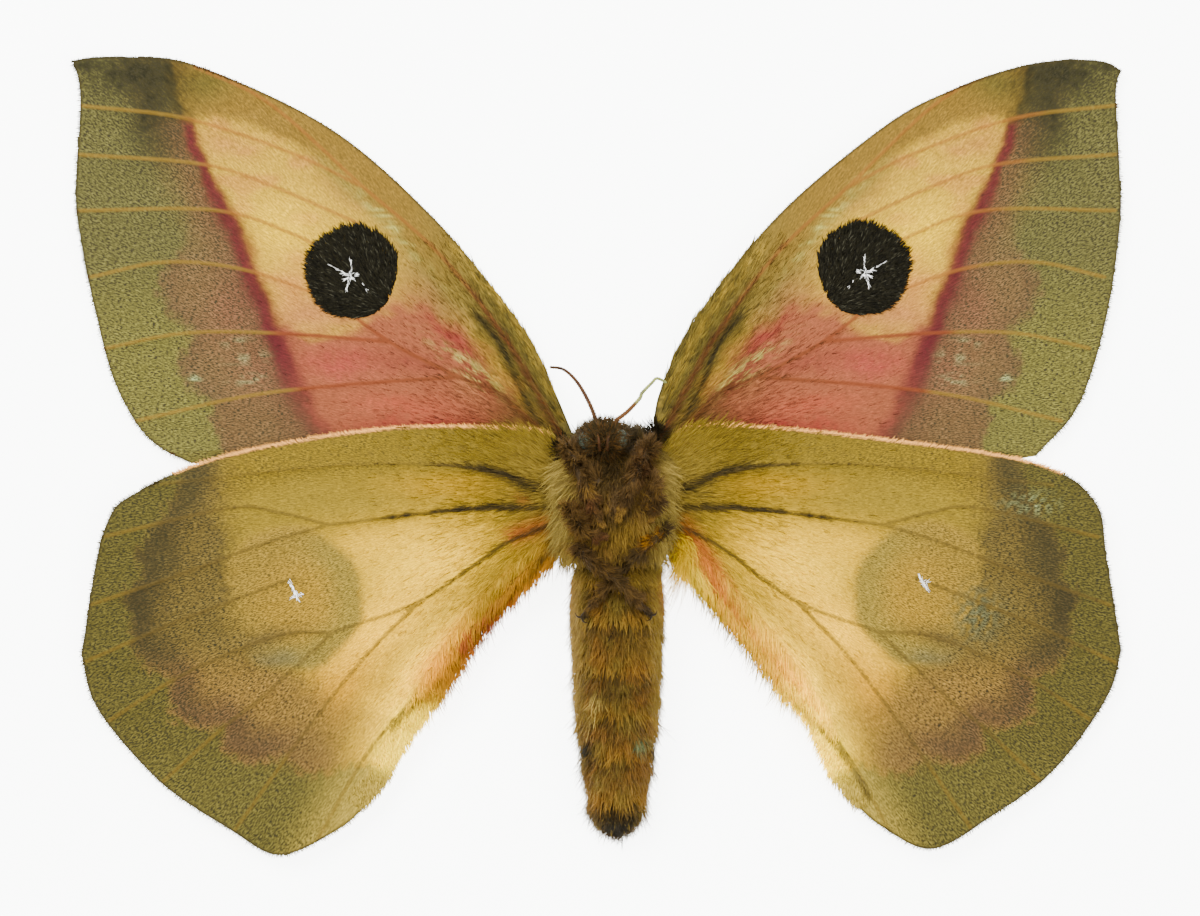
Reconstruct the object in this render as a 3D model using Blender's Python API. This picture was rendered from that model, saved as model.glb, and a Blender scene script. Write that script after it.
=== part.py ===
"""A female bullseye moth, dried and set with its wings spread, lying on its back with the underside up.

It lies on a flat surface at z = 0, which the flats on the backs of its thorax and abdomen touch. Y runs
from the tail to the head, and +X is the moth's left. The origin is on the midline, under the middle of the
thorax.
Sizes are in millimetres, and MM turns them into metres when a mesh is made.
"""

import math
import random

import bmesh
import bpy
from mathutils import Vector, geometry

MM = 0.001
GAP = 0.32
SHARP_ANGLE = 40.0

# Body
BODY_SIDES = 18
BODY_POWER = 2.3
THORAX_FRONT = 8.3
THORAX_REAR = -6.5
THORAX_MIDDLE_Y = 0.2
THORAX_WIDTH = 11.6
THORAX_DEPTH = 12.2
THORAX_MIDDLE_Z = 5.3
THORAX_POWER = 3.5
THORAX_STATIONS = 12
NECK_SLOPE = 0.42
ABDOMEN_FRONT = THORAX_REAR - GAP
ABDOMEN_LENGTH = 30.6
ABDOMEN_SIDE = 0.45
ABDOMEN_HALF_WIDTHS = (4.5, 5.1, 5.1, 4.75, 4.4, 4.0, 3.45, 3.05, 2.9)
ABDOMEN_FLATNESS = 0.95
ABDOMEN_SEGMENTS = 8
HEAD_MIDDLE = Vector((-1.1, 6.8, 7.9))
HEAD_RADII = Vector((2.3, 1.8, 2.1))
EYE_RADIUS = 1.15
EYE_FROM_HEAD = Vector((1.75, 0.1, 0.6))
PALP_RADII = (0.5, 0.36)

# Feelers and legs
ANTENNA_RADII = (0.3, 0.25, 0.2)

# Hair, as each lock's breadth and depth along its length
LOCK_THICKNESS = 0.62
LOCK_SHAPE = ((0.0, 0.7, 0.8), (0.4, 1.0, 1.0), (0.76, 0.64, 0.7), (1.0, 0.0, 0.0))
FRINGE = {"hindwing_right": (16, 2.1, 1.9), "hindwing_left": (16, 3.2, 2.2)}

# Wings
WING_THICKNESS = 0.5
ROOT_HEIGHT = 3.3
TIP_HEIGHT = 1.35
HIND_ABOVE_FORE = 1.2
RIPPLE = 0.22
VEIN_HALF_WIDTH = 0.6
VEIN_RISE = 0.22
VEIN_RISE_BELOW = 0.1
VEIN_STEP = 4.6
RIM_STEP = 3.4
SHEET_STEP = 5.6

OUT = {"right": -1.0, "left": 1.0}


def material(name, colour, roughness):
    """A plain finish for one kind of surface."""
    made = bpy.data.materials.new(name)
    made.use_nodes = True
    shader = made.node_tree.nodes["Principled BSDF"]
    shader.inputs["Base Color"].default_value = (*colour, 1.0)
    shader.inputs["Roughness"].default_value = roughness
    shader.inputs["Metallic"].default_value = 0.0
    return made


def object_from(name, mesh, finish):
    """Puts a finished bmesh, in millimetres, in the scene as an object in metres."""
    bmesh.ops.scale(mesh, vec=(MM, MM, MM), verts=mesh.verts)
    bmesh.ops.recalc_face_normals(mesh, faces=mesh.faces)
    data = bpy.data.meshes.new(name)
    mesh.to_mesh(data)
    mesh.free()
    data.materials.append(finish)
    made = bpy.data.objects.new(name, data)
    bpy.context.scene.collection.objects.link(made)
    return made


def loft(rings, start=None, end=None):
    """A closed skin over rings of as many points each. It ends in a point if one is given, else in a cap."""
    mesh = bmesh.new()
    rows = [[mesh.verts.new(point) for point in ring] for ring in rings]
    count = len(rows[0])
    for row, after in zip(rows, rows[1:]):
        for i in range(count):
            j = (i + 1) % count
            mesh.faces.new((row[i], row[j], after[j], after[i]))
    for row, pole in ((rows[0], start), (rows[-1], end)):
        if pole is None:
            mesh.faces.new(row)
            continue
        tip = mesh.verts.new(pole)
        for i in range(count):
            mesh.faces.new((row[i], row[(i + 1) % count], tip))
    return mesh


def tube(path, radii, sides=8):
    """A round tube along a path, as thick at each point as its radius there, with blunt ends."""
    path = [Vector(point) for point in path]
    rings = []
    across = None
    for i, centre in enumerate(path):
        along = (path[min(i + 1, len(path) - 1)] - path[max(i - 1, 0)]).normalized()
        across = along.orthogonal() if across is None else across - along * across.dot(along)
        across.normalize()
        over = along.cross(across)
        ring = []
        for k in range(sides):
            turn = 2 * math.pi * k / sides
            ring.append(centre + (across * math.cos(turn) + over * math.sin(turn)) * radii[i])
        rings.append(ring)
    start = path[0] - (path[1] - path[0]).normalized() * radii[0] * 0.7
    end = path[-1] + (path[-1] - path[-2]).normalized() * radii[-1] * 0.7
    return loft(rings, start, end)


def ball(middle, radii, around=16, along=10):
    """A closed ball stretched to three radii, with its poles along Z."""
    mesh = bmesh.new()
    bmesh.ops.create_uvsphere(mesh, u_segments=around, v_segments=along, radius=1.0)
    bmesh.ops.scale(mesh, vec=radii, verts=mesh.verts)
    bmesh.ops.translate(mesh, vec=middle, verts=mesh.verts)
    return mesh


def lock(finish, root, along, out, length, width, curl, grow=0.0):
    """One flat, tapered, bent lock of hair, rooted inside what it grows on, its flat side facing `out`."""
    along = Vector(along).normalized()
    across = along.cross(out).normalized()
    over = across.cross(along)
    rings = []
    for share, breadth, depth in LOCK_SHAPE:
        if share == 1.0 and not grow:
            continue
        centre = Vector(root) + along * length * share + over * curl * share**2
        half = across * (width / 2 * breadth + grow)
        rise = over * (LOCK_THICKNESS / 2 * depth + grow)
        rings.append([centre + half, centre + rise, centre - half, centre - rise])
    tip = Vector(root) + along * (length + grow) + over * curl
    return object_from("lock", loft(rings, None, tip), finish)


def smooth_curve(points, step):
    """Points about a step apart along a smooth curve through the given ones (Catmull-Rom)."""
    points = [Vector(point) for point in points]
    before, after = 2 * points[0] - points[1], 2 * points[-1] - points[-2]
    full = [before, *points, after]
    curve = [points[0]]
    for a, b, c, d in zip(full, full[1:], full[2:], full[3:]):
        count = max(1, round((c - b).length / step))
        for i in range(1, count + 1):
            t = i / count
            cubic = (3 * b - a - 3 * c + d) * t**3 + (2 * a - 5 * b + 4 * c - d) * t**2
            curve.append((cubic + (c - a) * t + 2 * b) * 0.5)
    return curve


def smooth_value(values, share):
    """A smooth run of values, read at a share of its length."""
    place = max(0.0, min(0.9999, share)) * (len(values) - 1)
    i = int(place)
    t = place - i
    b, c = values[i], values[i + 1]
    a = values[i - 1] if i else 2 * b - c
    d = values[i + 2] if i + 2 < len(values) else 2 * c - b
    return 0.5 * (2 * b + (c - a) * t + (2 * a - 5 * b + 4 * c - d) * t**2 + (3 * b - a - 3 * c + d) * t**3)


def with_others(thing, others, operation):
    """Joins or cuts an object by a collection of closed objects, which are removed afterwards."""
    if not others:
        return thing
    group = bpy.data.collections.new(thing.name + "_others")
    bpy.context.scene.collection.children.link(group)
    for other in others:
        bpy.context.scene.collection.objects.unlink(other)
        group.objects.link(other)
    step = thing.modifiers.new(operation.lower(), "BOOLEAN")
    step.operation = operation
    step.operand_type = "COLLECTION"
    step.collection = group
    graph = bpy.context.evaluated_depsgraph_get()
    made = bpy.data.meshes.new_from_object(thing.evaluated_get(graph))
    thing.modifiers.clear()
    thing.data = made
    for other in others:
        bpy.data.objects.remove(other)
    bpy.data.collections.remove(group)
    return thing


def largest_only(thing):
    """Keeps the closed surface that spreads furthest, and drops scraps and sealed hollows."""
    mesh = bmesh.new()
    mesh.from_mesh(thing.data)
    left = set(mesh.verts)
    groups = []
    while left:
        todo = [left.pop()]
        group = set(todo)
        while todo:
            for edge in todo.pop().link_edges:
                for vert in edge.verts:
                    if vert in left:
                        left.remove(vert)
                        group.add(vert)
                        todo.append(vert)
        groups.append(group)
    if len(groups) > 1:
        best = max(groups, key=spread_of)
        scraps = [vert for group in groups if group is not best for vert in group]
        bmesh.ops.delete(mesh, geom=scraps, context="VERTS")
        mesh.to_mesh(thing.data)
    mesh.free()
    return thing


def spread_of(group):
    """How far a group of vertices spreads, corner to corner of its box."""
    low = Vector([min(vert.co[i] for vert in group) for i in range(3)])
    high = Vector([max(vert.co[i] for vert in group) for i in range(3)])
    return (high - low).length


# Torso

def body_ring(side, y, middle, half_width, half_depth):
    """One cross-section of the body, a rounded oblong with its back pressed flat on z = 0."""
    ring = []
    for i in range(BODY_SIDES):
        turn = 2 * math.pi * (i + 0.5) / BODY_SIDES
        c, s = math.cos(turn), math.sin(turn)
        x = side + half_width * math.copysign(abs(c) ** (2 / BODY_POWER), c)
        z = middle + half_depth * math.copysign(abs(s) ** (2 / BODY_POWER), s)
        ring.append(Vector((x, y, max(0.0, z))))
    return ring


def thorax_size(y, grow=0.0):
    """Side shift, middle height, half width and half depth of the thorax at y."""
    front, rear = THORAX_FRONT + grow, 2 * THORAX_MIDDLE_Y - THORAX_FRONT - grow
    share = (y - THORAX_MIDDLE_Y) / ((front - rear) / 2)
    swell = max(0.0, 1.0 - abs(share) ** THORAX_POWER) ** (1.0 / THORAX_POWER)
    slope = max(0.0, min(1.0, (y - 1.0) / 6.0))
    lower = 1.0 - NECK_SLOPE * slope * slope * (3 - 2 * slope)
    sunk = THORAX_DEPTH / 2 - THORAX_MIDDLE_Z
    middle = THORAX_DEPTH / 2 * lower - sunk * (0.3 + 0.7 * swell)
    return 0.0, middle, (THORAX_WIDTH / 2 + grow) * swell, (THORAX_DEPTH / 2 * lower + grow) * swell


def thorax_core(name, finish, grow=0.0):
    """The chest, closed by a flat face at its rear and a blunt point under the head."""
    rear, front = THORAX_REAR - grow, THORAX_FRONT + grow
    rings = []
    for i in range(THORAX_STATIONS):
        y = rear + (front - rear) * math.sin(i / THORAX_STATIONS * math.pi / 2)
        rings.append(body_ring(thorax_size(y, grow)[0], y, *thorax_size(y, grow)[1:]))
    pole = Vector((0.0, front, thorax_size(front)[1]))
    return object_from(name, loft(rings, None, pole), finish)


def skin_point(size, degrees):
    """A point on a cross-section of the body and the way out from it, at an angle above the left side."""
    side, middle, half_width, half_depth = size
    c, s = math.cos(math.radians(degrees)), math.sin(math.radians(degrees))
    x = half_width * math.copysign(abs(c) ** (2 / BODY_POWER), c)
    z = half_depth * math.copysign(abs(s) ** (2 / BODY_POWER), s)
    out = Vector((x / half_width**2, 0.0, z / half_depth**2)).normalized()
    return Vector((side + x, 0.0, middle + z)), out


def thorax_locks(finish, grow=0.0):
    """Locks that lie back along the chest and out over the wing roots, and a short collar at the neck."""
    rng = random.Random(4)
    locks = []
    for row in range(7):
        for degrees in (8, 30, 52, 74, 100, 122, 144, 166):
            steep = 60 < degrees < 120
            if steep and row > 4:
                continue
            y = -5.2 + 1.85 * row + rng.uniform(-0.4, 0.4)
            spot, out = skin_point(thorax_size(y), degrees + rng.uniform(-6, 6))
            spot.y = y
            along = Vector((out.x * 0.3, -0.95, 0.0)) + out * (0.16 if steep else 0.28)
            length = rng.uniform(2.8, 3.7)
            locks.append(lock(finish, spot - out * 0.42, along, out, length, 1.9, -0.2, grow))
    for i in range(12):
        degrees = -38 + 23.3 * i
        y = 6.7 if 30 < degrees < 150 else 7.1
        spot, out = skin_point(thorax_size(y), degrees)
        spot.y = y
        along = Vector((0.0, 0.9, 0.0)) + out * 0.3
        locks.append(lock(finish, spot - out * 0.5, along, out, rng.uniform(2.0, 2.6), 1.8, -0.2, grow))
    return locks


def abdomen_size(y, grow=0.0):
    """Side shift, middle height, half width and half depth of the abdomen at y."""
    share = (ABDOMEN_FRONT - y) / ABDOMEN_LENGTH
    ring = (share * ABDOMEN_SEGMENTS) % 1.0
    swell = 1.0 + 0.045 * (math.sin(ring * math.pi) - 0.6)
    tail = max(0.0, 1.0 - max(0.0, share) ** 16) ** 0.5
    half = smooth_value(ABDOMEN_HALF_WIDTHS, share) * swell * tail
    depth = half * ABDOMEN_FLATNESS
    return ABDOMEN_SIDE, depth * 0.94, half + grow, depth + grow


def abdomen_core(name, finish, grow=0.0):
    """The abdomen, a tapered tube of ringed segments with a flat front face."""
    steps = ABDOMEN_SEGMENTS * 3
    shares = [i / steps for i in range(steps)] + [0.98]
    rings = []
    for share in shares:
        y = ABDOMEN_FRONT - share * ABDOMEN_LENGTH
        rings.append(body_ring(abdomen_size(y, grow)[0], y, *abdomen_size(y, grow)[1:]))
    tail = Vector((ABDOMEN_SIDE, ABDOMEN_FRONT - ABDOMEN_LENGTH, 1.6))
    return object_from(name, loft(rings, None, tail), finish)


def abdomen_locks(finish, grow=0.0):
    """A ring of locks over the joint behind each segment, and a tuft at the tail, clear of the hind legs."""
    rng = random.Random(7)
    locks = []
    for segment in range(ABDOMEN_SEGMENTS):
        count = 9 if segment < 5 else 7
        for i in range(count):
            degrees = -24 + 228 * (i + 0.5 * (segment % 2)) / count
            if segment < 2 and 28 < degrees < 152:
                continue
            share = (segment + 0.62 + rng.uniform(-0.12, 0.12)) / ABDOMEN_SEGMENTS
            y = ABDOMEN_FRONT - share * ABDOMEN_LENGTH
            spot, out = skin_point(abdomen_size(y), degrees)
            spot.y = y
            along = Vector((rng.uniform(-0.15, 0.15), -1.0, 0.0)) + out * 0.25
            width = 2.5 - 0.1 * segment
            length = rng.uniform(3.3, 4.2)
            locks.append(lock(finish, spot - out * 0.42, along, out, length, width, -0.25, grow))
    return locks


def torso_top(x, y):
    """Height of the body's upper surface, with its steep sides levelled off."""
    side, middle, half_width, half_depth = thorax_size(y) if y > THORAX_REAR else abdomen_size(y)
    share = min(0.97, abs(x - side) / half_width)
    return middle + half_depth * (1.0 - share**BODY_POWER) ** (1.0 / BODY_POWER)


# Wings

# Outlines in the plane, from the root along the front edge to the tip, down the outer edge and back along
# the hind edge. The first number is the distance out from the midline. Each stretch is one smooth curve.
OUTLINES = {
    "forewing_right": [
        [(4.6, 7.6), (6.4, 11.9), (8.6, 16.8), (12.1, 22.1), (20.7, 32.4), (32.5, 42.5), (47.7, 49.6),
         (56.1, 50.6)],
        [(56.1, 50.6), (60.2, 50.5), (61.6, 49.6)],
        [(61.6, 49.6), (60.9, 43.2), (61.3, 34.1), (59.7, 23.9), (56.9, 13.6), (51.5, 5.9), (48.1, 4.2)],
        [(48.1, 4.2), (34.0, 3.0), (20.0, 2.6), (8.6, 2.9), (6.1, 3.3)],
    ],
    "forewing_left": [
        [(4.6, 7.6), (5.3, 12.3), (9.3, 20.5), (18.8, 32.4), (30.8, 42.5), (38.3, 46.6), (46.3, 49.4),
         (52.0, 50.3)],
        [(52.0, 50.3), (56.0, 49.8), (58.1, 48.0)],
        [(58.1, 48.0), (57.8, 40.9), (57.8, 31.3), (56.2, 20.5), (53.1, 10.8), (48.2, 5.0)],
        [(48.2, 5.0), (34.0, 3.0), (20.0, 2.6), (8.6, 2.9), (6.1, 3.3)],
    ],
    "hindwing_right": [
        [(6.2, 5.6), (7.6, 7.5), (12.9, 8.2), (26.5, 8.0), (43.6, 5.1), (53.8, 1.1), (57.9, -3.4),
         (60.6, -17.6)],
        [(60.6, -17.6), (58.7, -23.9), (51.6, -32.1), (43.6, -37.5), (37.9, -40.4), (31.3, -37.5),
         (27.4, -33.9)],
        [(27.4, -33.9), (25.4, -28.9), (20.8, -22.4), (15.0, -14.6), (10.6, -9.8), (8.0, -7.4), (6.0, -5.6)],
    ],
    "hindwing_left": [
        [(6.2, 5.6), (7.4, 7.7), (12.0, 8.5), (27.0, 7.3), (47.4, 4.3), (54.7, 0.0), (56.2, -6.8),
         (57.9, -17.1)],
        [(57.9, -17.1), (56.3, -22.5), (50.3, -30.7), (42.8, -36.2), (36.3, -39.7), (30.8, -37.5),
         (26.0, -33.4)],
        [(26.0, -33.4), (24.8, -29.0), (20.4, -21.4), (15.0, -15.0), (11.0, -10.3), (8.4, -7.6), (6.0, -5.6)],
    ],
}

# Main veins of a right wing, each from its root or fork out to the edge. A left wing's lie less far out.
REACH = {"forewing_right": 1.0, "forewing_left": 0.94, "hindwing_right": 1.0, "hindwing_left": 0.95}
VEINS = {
    "forewing": [
        [(5.4, 6.6), (11.7, 17.6), (19.7, 27.9), (28.4, 35.6), (39.2, 45.2), (47.7, 49.4)],
        [(28.4, 35.6), (37.1, 39.7), (48.8, 43.5), (60.9, 45.0)],
        [(29.0, 31.5), (39.2, 35.9), (47.1, 38.3), (61.0, 39.4)],
        [(30.3, 27.0), (36.5, 30.3), (45.4, 33.0), (60.9, 33.0)],
        [(31.8, 22.7), (41.9, 26.2), (51.0, 27.1), (59.6, 25.4)],
        [(25.4, 18.0), (38.4, 19.0), (48.8, 19.0), (57.8, 17.3)],
        [(17.5, 14.0), (30.6, 13.1), (41.9, 11.8), (54.4, 9.0)],
        [(5.8, 5.7), (8.8, 8.5), (13.2, 12.3), (17.5, 14.0), (25.4, 18.0), (31.8, 22.7)],
        [(31.8, 22.7), (30.3, 27.0), (29.0, 31.5), (28.4, 35.6)],
        [(6.2, 4.4), (20.0, 5.6), (36.0, 6.0), (50.6, 5.4)],
    ],
    "hindwing": [
        [(6.3, 1.0), (12.3, 2.9), (19.7, 4.0), (32.2, 3.9), (52.6, 1.7)],
        [(6.3, -0.6), (17.5, -1.1), (32.3, -2.8)],
        [(32.3, -2.8), (38.0, -1.4), (43.6, -0.9), (58.1, -4.2)],
        [(32.3, -2.8), (39.2, -4.8), (48.8, -8.3), (59.7, -12.0)],
        [(36.2, -8.8), (45.4, -12.2), (51.0, -14.4), (60.5, -18.6)],
        [(31.8, -15.0), (38.4, -15.5), (48.8, -19.8), (57.8, -25.4)],
        [(31.8, -15.0), (39.7, -22.2), (44.5, -26.0), (51.4, -32.2)],
        [(21.8, -11.4), (28.0, -17.6), (34.9, -26.2), (43.2, -37.8)],
        [(6.3, -2.2), (12.3, -5.0), (21.8, -11.4), (31.8, -15.0)],
        [(32.3, -2.8), (36.2, -8.8), (31.8, -15.0)],
        [(6.3, -4.2), (12.3, -10.6), (21.8, -21.6), (28.0, -28.9), (33.6, -38.6)],
    ],
}


def wing_level(x, y):
    """Height of the wings' middle surface, which falls from the root to the tip and ripples a little."""
    share = min(1.0, abs(x) / 60.0)
    ripple = RIPPLE * math.sin(y / 5.5 + x / 19.0) * share
    return ROOT_HEIGHT + (TIP_HEIGHT - ROOT_HEIGHT) * share**1.6 + ripple


def wing_height(name, x, y):
    """Middle surface of one wing. The hindwing lies over the forewing and comes down behind it."""
    if name.startswith("forewing"):
        return wing_level(x, y)
    behind = min(1.0, max(0.0, (2.0 - y) / 36.0))
    ease = behind * behind * (3 - 2 * behind)
    return wing_level(x, y) + HIND_ABOVE_FORE * (1.0 - 0.75 * ease)


def nearest_on(point, line):
    """The nearest point of a line of points, and which of its lengths it is on."""
    best, place, index = 1e9, line[0], 0
    for i, (a, b) in enumerate(zip(line, line[1:])):
        way = b - a
        share = max(0.0, min(1.0, (point - a).dot(way) / max(way.length_squared, 1e-9)))
        spot = a + way * share
        off = (spot - point).length
        if off < best:
            best, place, index = off, spot, i
    return place, index, best


def gap_to(point, lines):
    """Distance from a point to the nearest of the lines."""
    return min((nearest_on(point, line)[2] for line in lines), default=1e9)


def inside(point, ring):
    """Whether a point in the plane lies within a closed ring of points."""
    found = False
    for a, b in zip(ring, ring[1:] + ring[:1]):
        if (a.y > point.y) != (b.y > point.y):
            if point.x < a.x + (b.x - a.x) * (point.y - a.y) / (b.y - a.y):
                found = not found
    return found


def onto_rim(ring, point):
    """Moves a point onto the rim and makes it one of the rim's points."""
    place, index, _ = nearest_on(point, ring + ring[:1])
    for i in (index, (index + 1) % len(ring)):
        if (ring[i] - place).length < RIM_STEP * 0.35:
            ring[i] = place
            return place
    ring.insert(index + 1, place)
    return place


def outline_ring(name):
    """A wing's rim as a closed ring of points, its root following the side of the thorax."""
    stretches = OUTLINES[name]
    ring = []
    for stretch in stretches:
        ring += smooth_curve(stretch, RIM_STEP)[:-1]
    low, high = stretches[-1][-1][1], stretches[0][0][1]
    count = max(2, round((high - low) / 1.1))
    for i in range(count + 1):
        y = low + (high - low) * i / count
        place = Vector((thorax_size(y)[2] + 1.2 * GAP, y))
        if i < count:
            ring.append(place)
        else:
            ring[0] = place
    return ring


def wing_plan(name):
    """Points in the plane, the triangles between them and the lines of the veins."""
    ring = outline_ring(name)
    reach = REACH[name]
    lines = []
    for points in VEINS[name.split("_")[0]]:
        line = smooth_curve([(x * reach, y) for x, y in points], VEIN_STEP)
        for end in (0, -1):
            if nearest_on(line[end], ring + ring[:1])[2] < 1.3:
                line[end] = onto_rim(ring, line[end])
        lines.append(line)
    points = list(ring)
    edges = [(i, (i + 1) % len(ring)) for i in range(len(ring))]
    for line in lines:
        others = [other for other in lines if other is not line]
        rows = [line]
        for side in (-1.0, 1.0):
            foot = []
            for before, here, after in zip(line, line[1:], line[2:]):
                way = (after - before).normalized()
                spot = here + Vector((-way.y, way.x)) * side * VEIN_HALF_WIDTH
                if gap_to(spot, others) > VEIN_HALF_WIDTH and nearest_on(spot, ring + ring[:1])[2] > 0.5:
                    foot.append(spot)
            rows.append(foot)
        for row in rows:
            first = len(points)
            points += row
            for i, (here, after) in enumerate(zip(row, row[1:])):
                if (after - here).length < VEIN_STEP * 1.7:
                    edges.append((first + i, first + i + 1))
    columns, rows = int(62 / SHEET_STEP), int(96 / SHEET_STEP)
    for row in range(rows):
        for column in range(columns):
            spot = Vector((column + 0.5 * (row % 2) + 1.0, row)) * SHEET_STEP + Vector((0.0, -43.0))
            if inside(spot, ring) and nearest_on(spot, ring + ring[:1])[2] > SHEET_STEP * 0.4:
                if gap_to(spot, lines) > SHEET_STEP * 0.4:
                    points.append(spot)
    flat, _, faces, *_ = geometry.delaunay_2d_cdt(points, edges, [list(range(len(ring)))], 1, 1e-3)
    return flat, faces, lines


def wing(name, finish):
    """A wing as one closed sheet, its two faces split alike, with its veins raised on both."""
    flat, faces, lines = wing_plan(name)
    out = OUT[name.split("_")[1]]
    mesh = bmesh.new()
    tops, bottoms = [], []
    for point in flat:
        ridge = max(0.0, 1.0 - gap_to(point, lines) / VEIN_HALF_WIDTH)
        middle = wing_height(name, point.x, point.y)
        top = middle + WING_THICKNESS / 2 + ridge * VEIN_RISE
        bottom = middle - WING_THICKNESS / 2 - ridge * VEIN_RISE_BELOW
        tops.append(mesh.verts.new((point.x * out, point.y, top)))
        bottoms.append(mesh.verts.new((point.x * out, point.y, bottom)))
    sides = set()
    for face in faces:
        mesh.faces.new([tops[i] for i in face])
        mesh.faces.new([bottoms[i] for i in reversed(face)])
        sides.update(zip(face, face[1:] + face[:1]))
    for a, b in sides:
        if (b, a) not in sides:
            mesh.faces.new((tops[b], tops[a], bottoms[a], bottoms[b]))
    bmesh.ops.delete(mesh, geom=[vert for vert in mesh.verts if not vert.link_faces], context="VERTS")
    return object_from(name, mesh, finish)


def fringe(name, finish):
    """The long hair along a hindwing's inner edge, as locks that lie in the wing's plane."""
    count, length, width = FRINGE[name]
    out = OUT[name.split("_")[1]]
    edge = smooth_curve(OUTLINES[name][2][1:-1], 0.3)
    rng = random.Random(11)
    locks = []
    for i in range(count):
        place = int((i + 0.7) / (count + 0.6) * (len(edge) - 1))
        here, after = edge[place], edge[min(place + 1, len(edge) - 1)]
        way = (after - here).normalized()
        inward = Vector((way.y, -way.x))
        reach = length * rng.uniform(0.85, 1.15)
        flow = -inward * 0.75 - way * 0.66
        root = here + inward * 0.9
        start = Vector((root.x * out, root.y, wing_height(name, root.x, root.y)))
        along = Vector((flow.x * out, flow.y, 0.0))
        curl = rng.uniform(-0.25, 0.35)
        locks.append(lock(finish, start, along, Vector((0, 0, 1)), reach + 0.9, width, curl))
    return locks


# Legs

# Joints from hip to claw: across, along, radius there and how far it is lifted off the body
LEGS = {
    "foreleg_right": [
        (-1.4, 1.8, 0.8, -1.2),
        (-5.2, 6.3, 0.9, 0.8),
        (-2.3, -0.3, 0.75, 0.3),
        (-1.2, -2.8, 0.42, 0.3),
    ],
    "foreleg_left": [
        (1.3, 2.2, 0.8, -1.2),
        (4.3, 6.5, 0.95, 0.8),
        (1.4, 0.4, 0.75, 0.3),
        (0.5, -2.2, 0.42, 0.3),
    ],
    "midleg_right": [
        (-4.0, -2.2, 0.7, -1.2),
        (-5.0, -0.7, 0.75, 0.4),
        (-3.3, -3.6, 0.6, 0.3),
        (-0.9, -4.1, 0.4, 0.3),
    ],
    "midleg_left": [
        (3.1, -1.4, 0.7, -1.2),
        (4.8, 2.5, 0.75, 0.4),
        (4.7, -0.3, 0.6, 0.3),
        (4.3, -2.2, 0.42, 0.3),
    ],
    "hindleg_right": [
        (-2.2, -5.7, 0.7, -1.0),
        (-4.1, -5.1, 0.75, 0.4),
        (-2.3, -6.9, 0.65, 1.6),
        (0.4, -8.8, 0.6, 2.0),
        (4.2, -12.8, 0.4, 0.3),
    ],
    "hindleg_left": [
        (3.3, -5.0, 0.6, -1.2),
        (6.0, -3.1, 0.7, 0.5),
        (2.8, -5.9, 0.65, 0.4),
        (0.2, -8.6, 0.55, 0.3),
        (-3.4, -13.0, 0.38, 0.3),
    ],
}


def leg_shapes(name, finish, grow=0.0):
    """A leg folded over the body: thigh, shin and foot, each a tapered length that follows the body."""
    joints = LEGS[name]
    shapes = []
    rng = random.Random(name)
    for part, (joint, after) in enumerate(zip(joints, joints[1:])):
        x, y, radius, lift = joint
        to_x, to_y, to_radius, to_lift = after
        count = max(2, round(math.dist((x, y), (to_x, to_y)) / 1.7))
        path, radii = [], []
        for i in range(count + 1):
            t = i / count
            px, py = x + (to_x - x) * t, y + (to_y - y) * t
            width = radius + (to_radius - radius) * t
            path.append(Vector((px, py, torso_top(px, py) + width + GAP + lift + (to_lift - lift) * t)))
            radii.append(width)
        shapes.append(object_from(name, tube(path, [width + grow for width in radii], 7), finish))
        if part == 0 or part == len(joints) - 2:
            continue
        for i in range(count):
            way = (path[i + 1] - path[i]).normalized()
            across = Vector((-way.y, way.x, 0.0)).normalized()
            for side in (-1.0, 1.0):
                along = way + across * side * 0.35 + Vector((0.0, 0.0, 0.1))
                start = path[i] + across * side * radii[i] * 0.3
                length = rng.uniform(1.8, 2.4)
                shapes.append(lock(finish, start, along, Vector((0, 0, 1)), length, 1.1, 0.1, grow))
    return shapes


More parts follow.
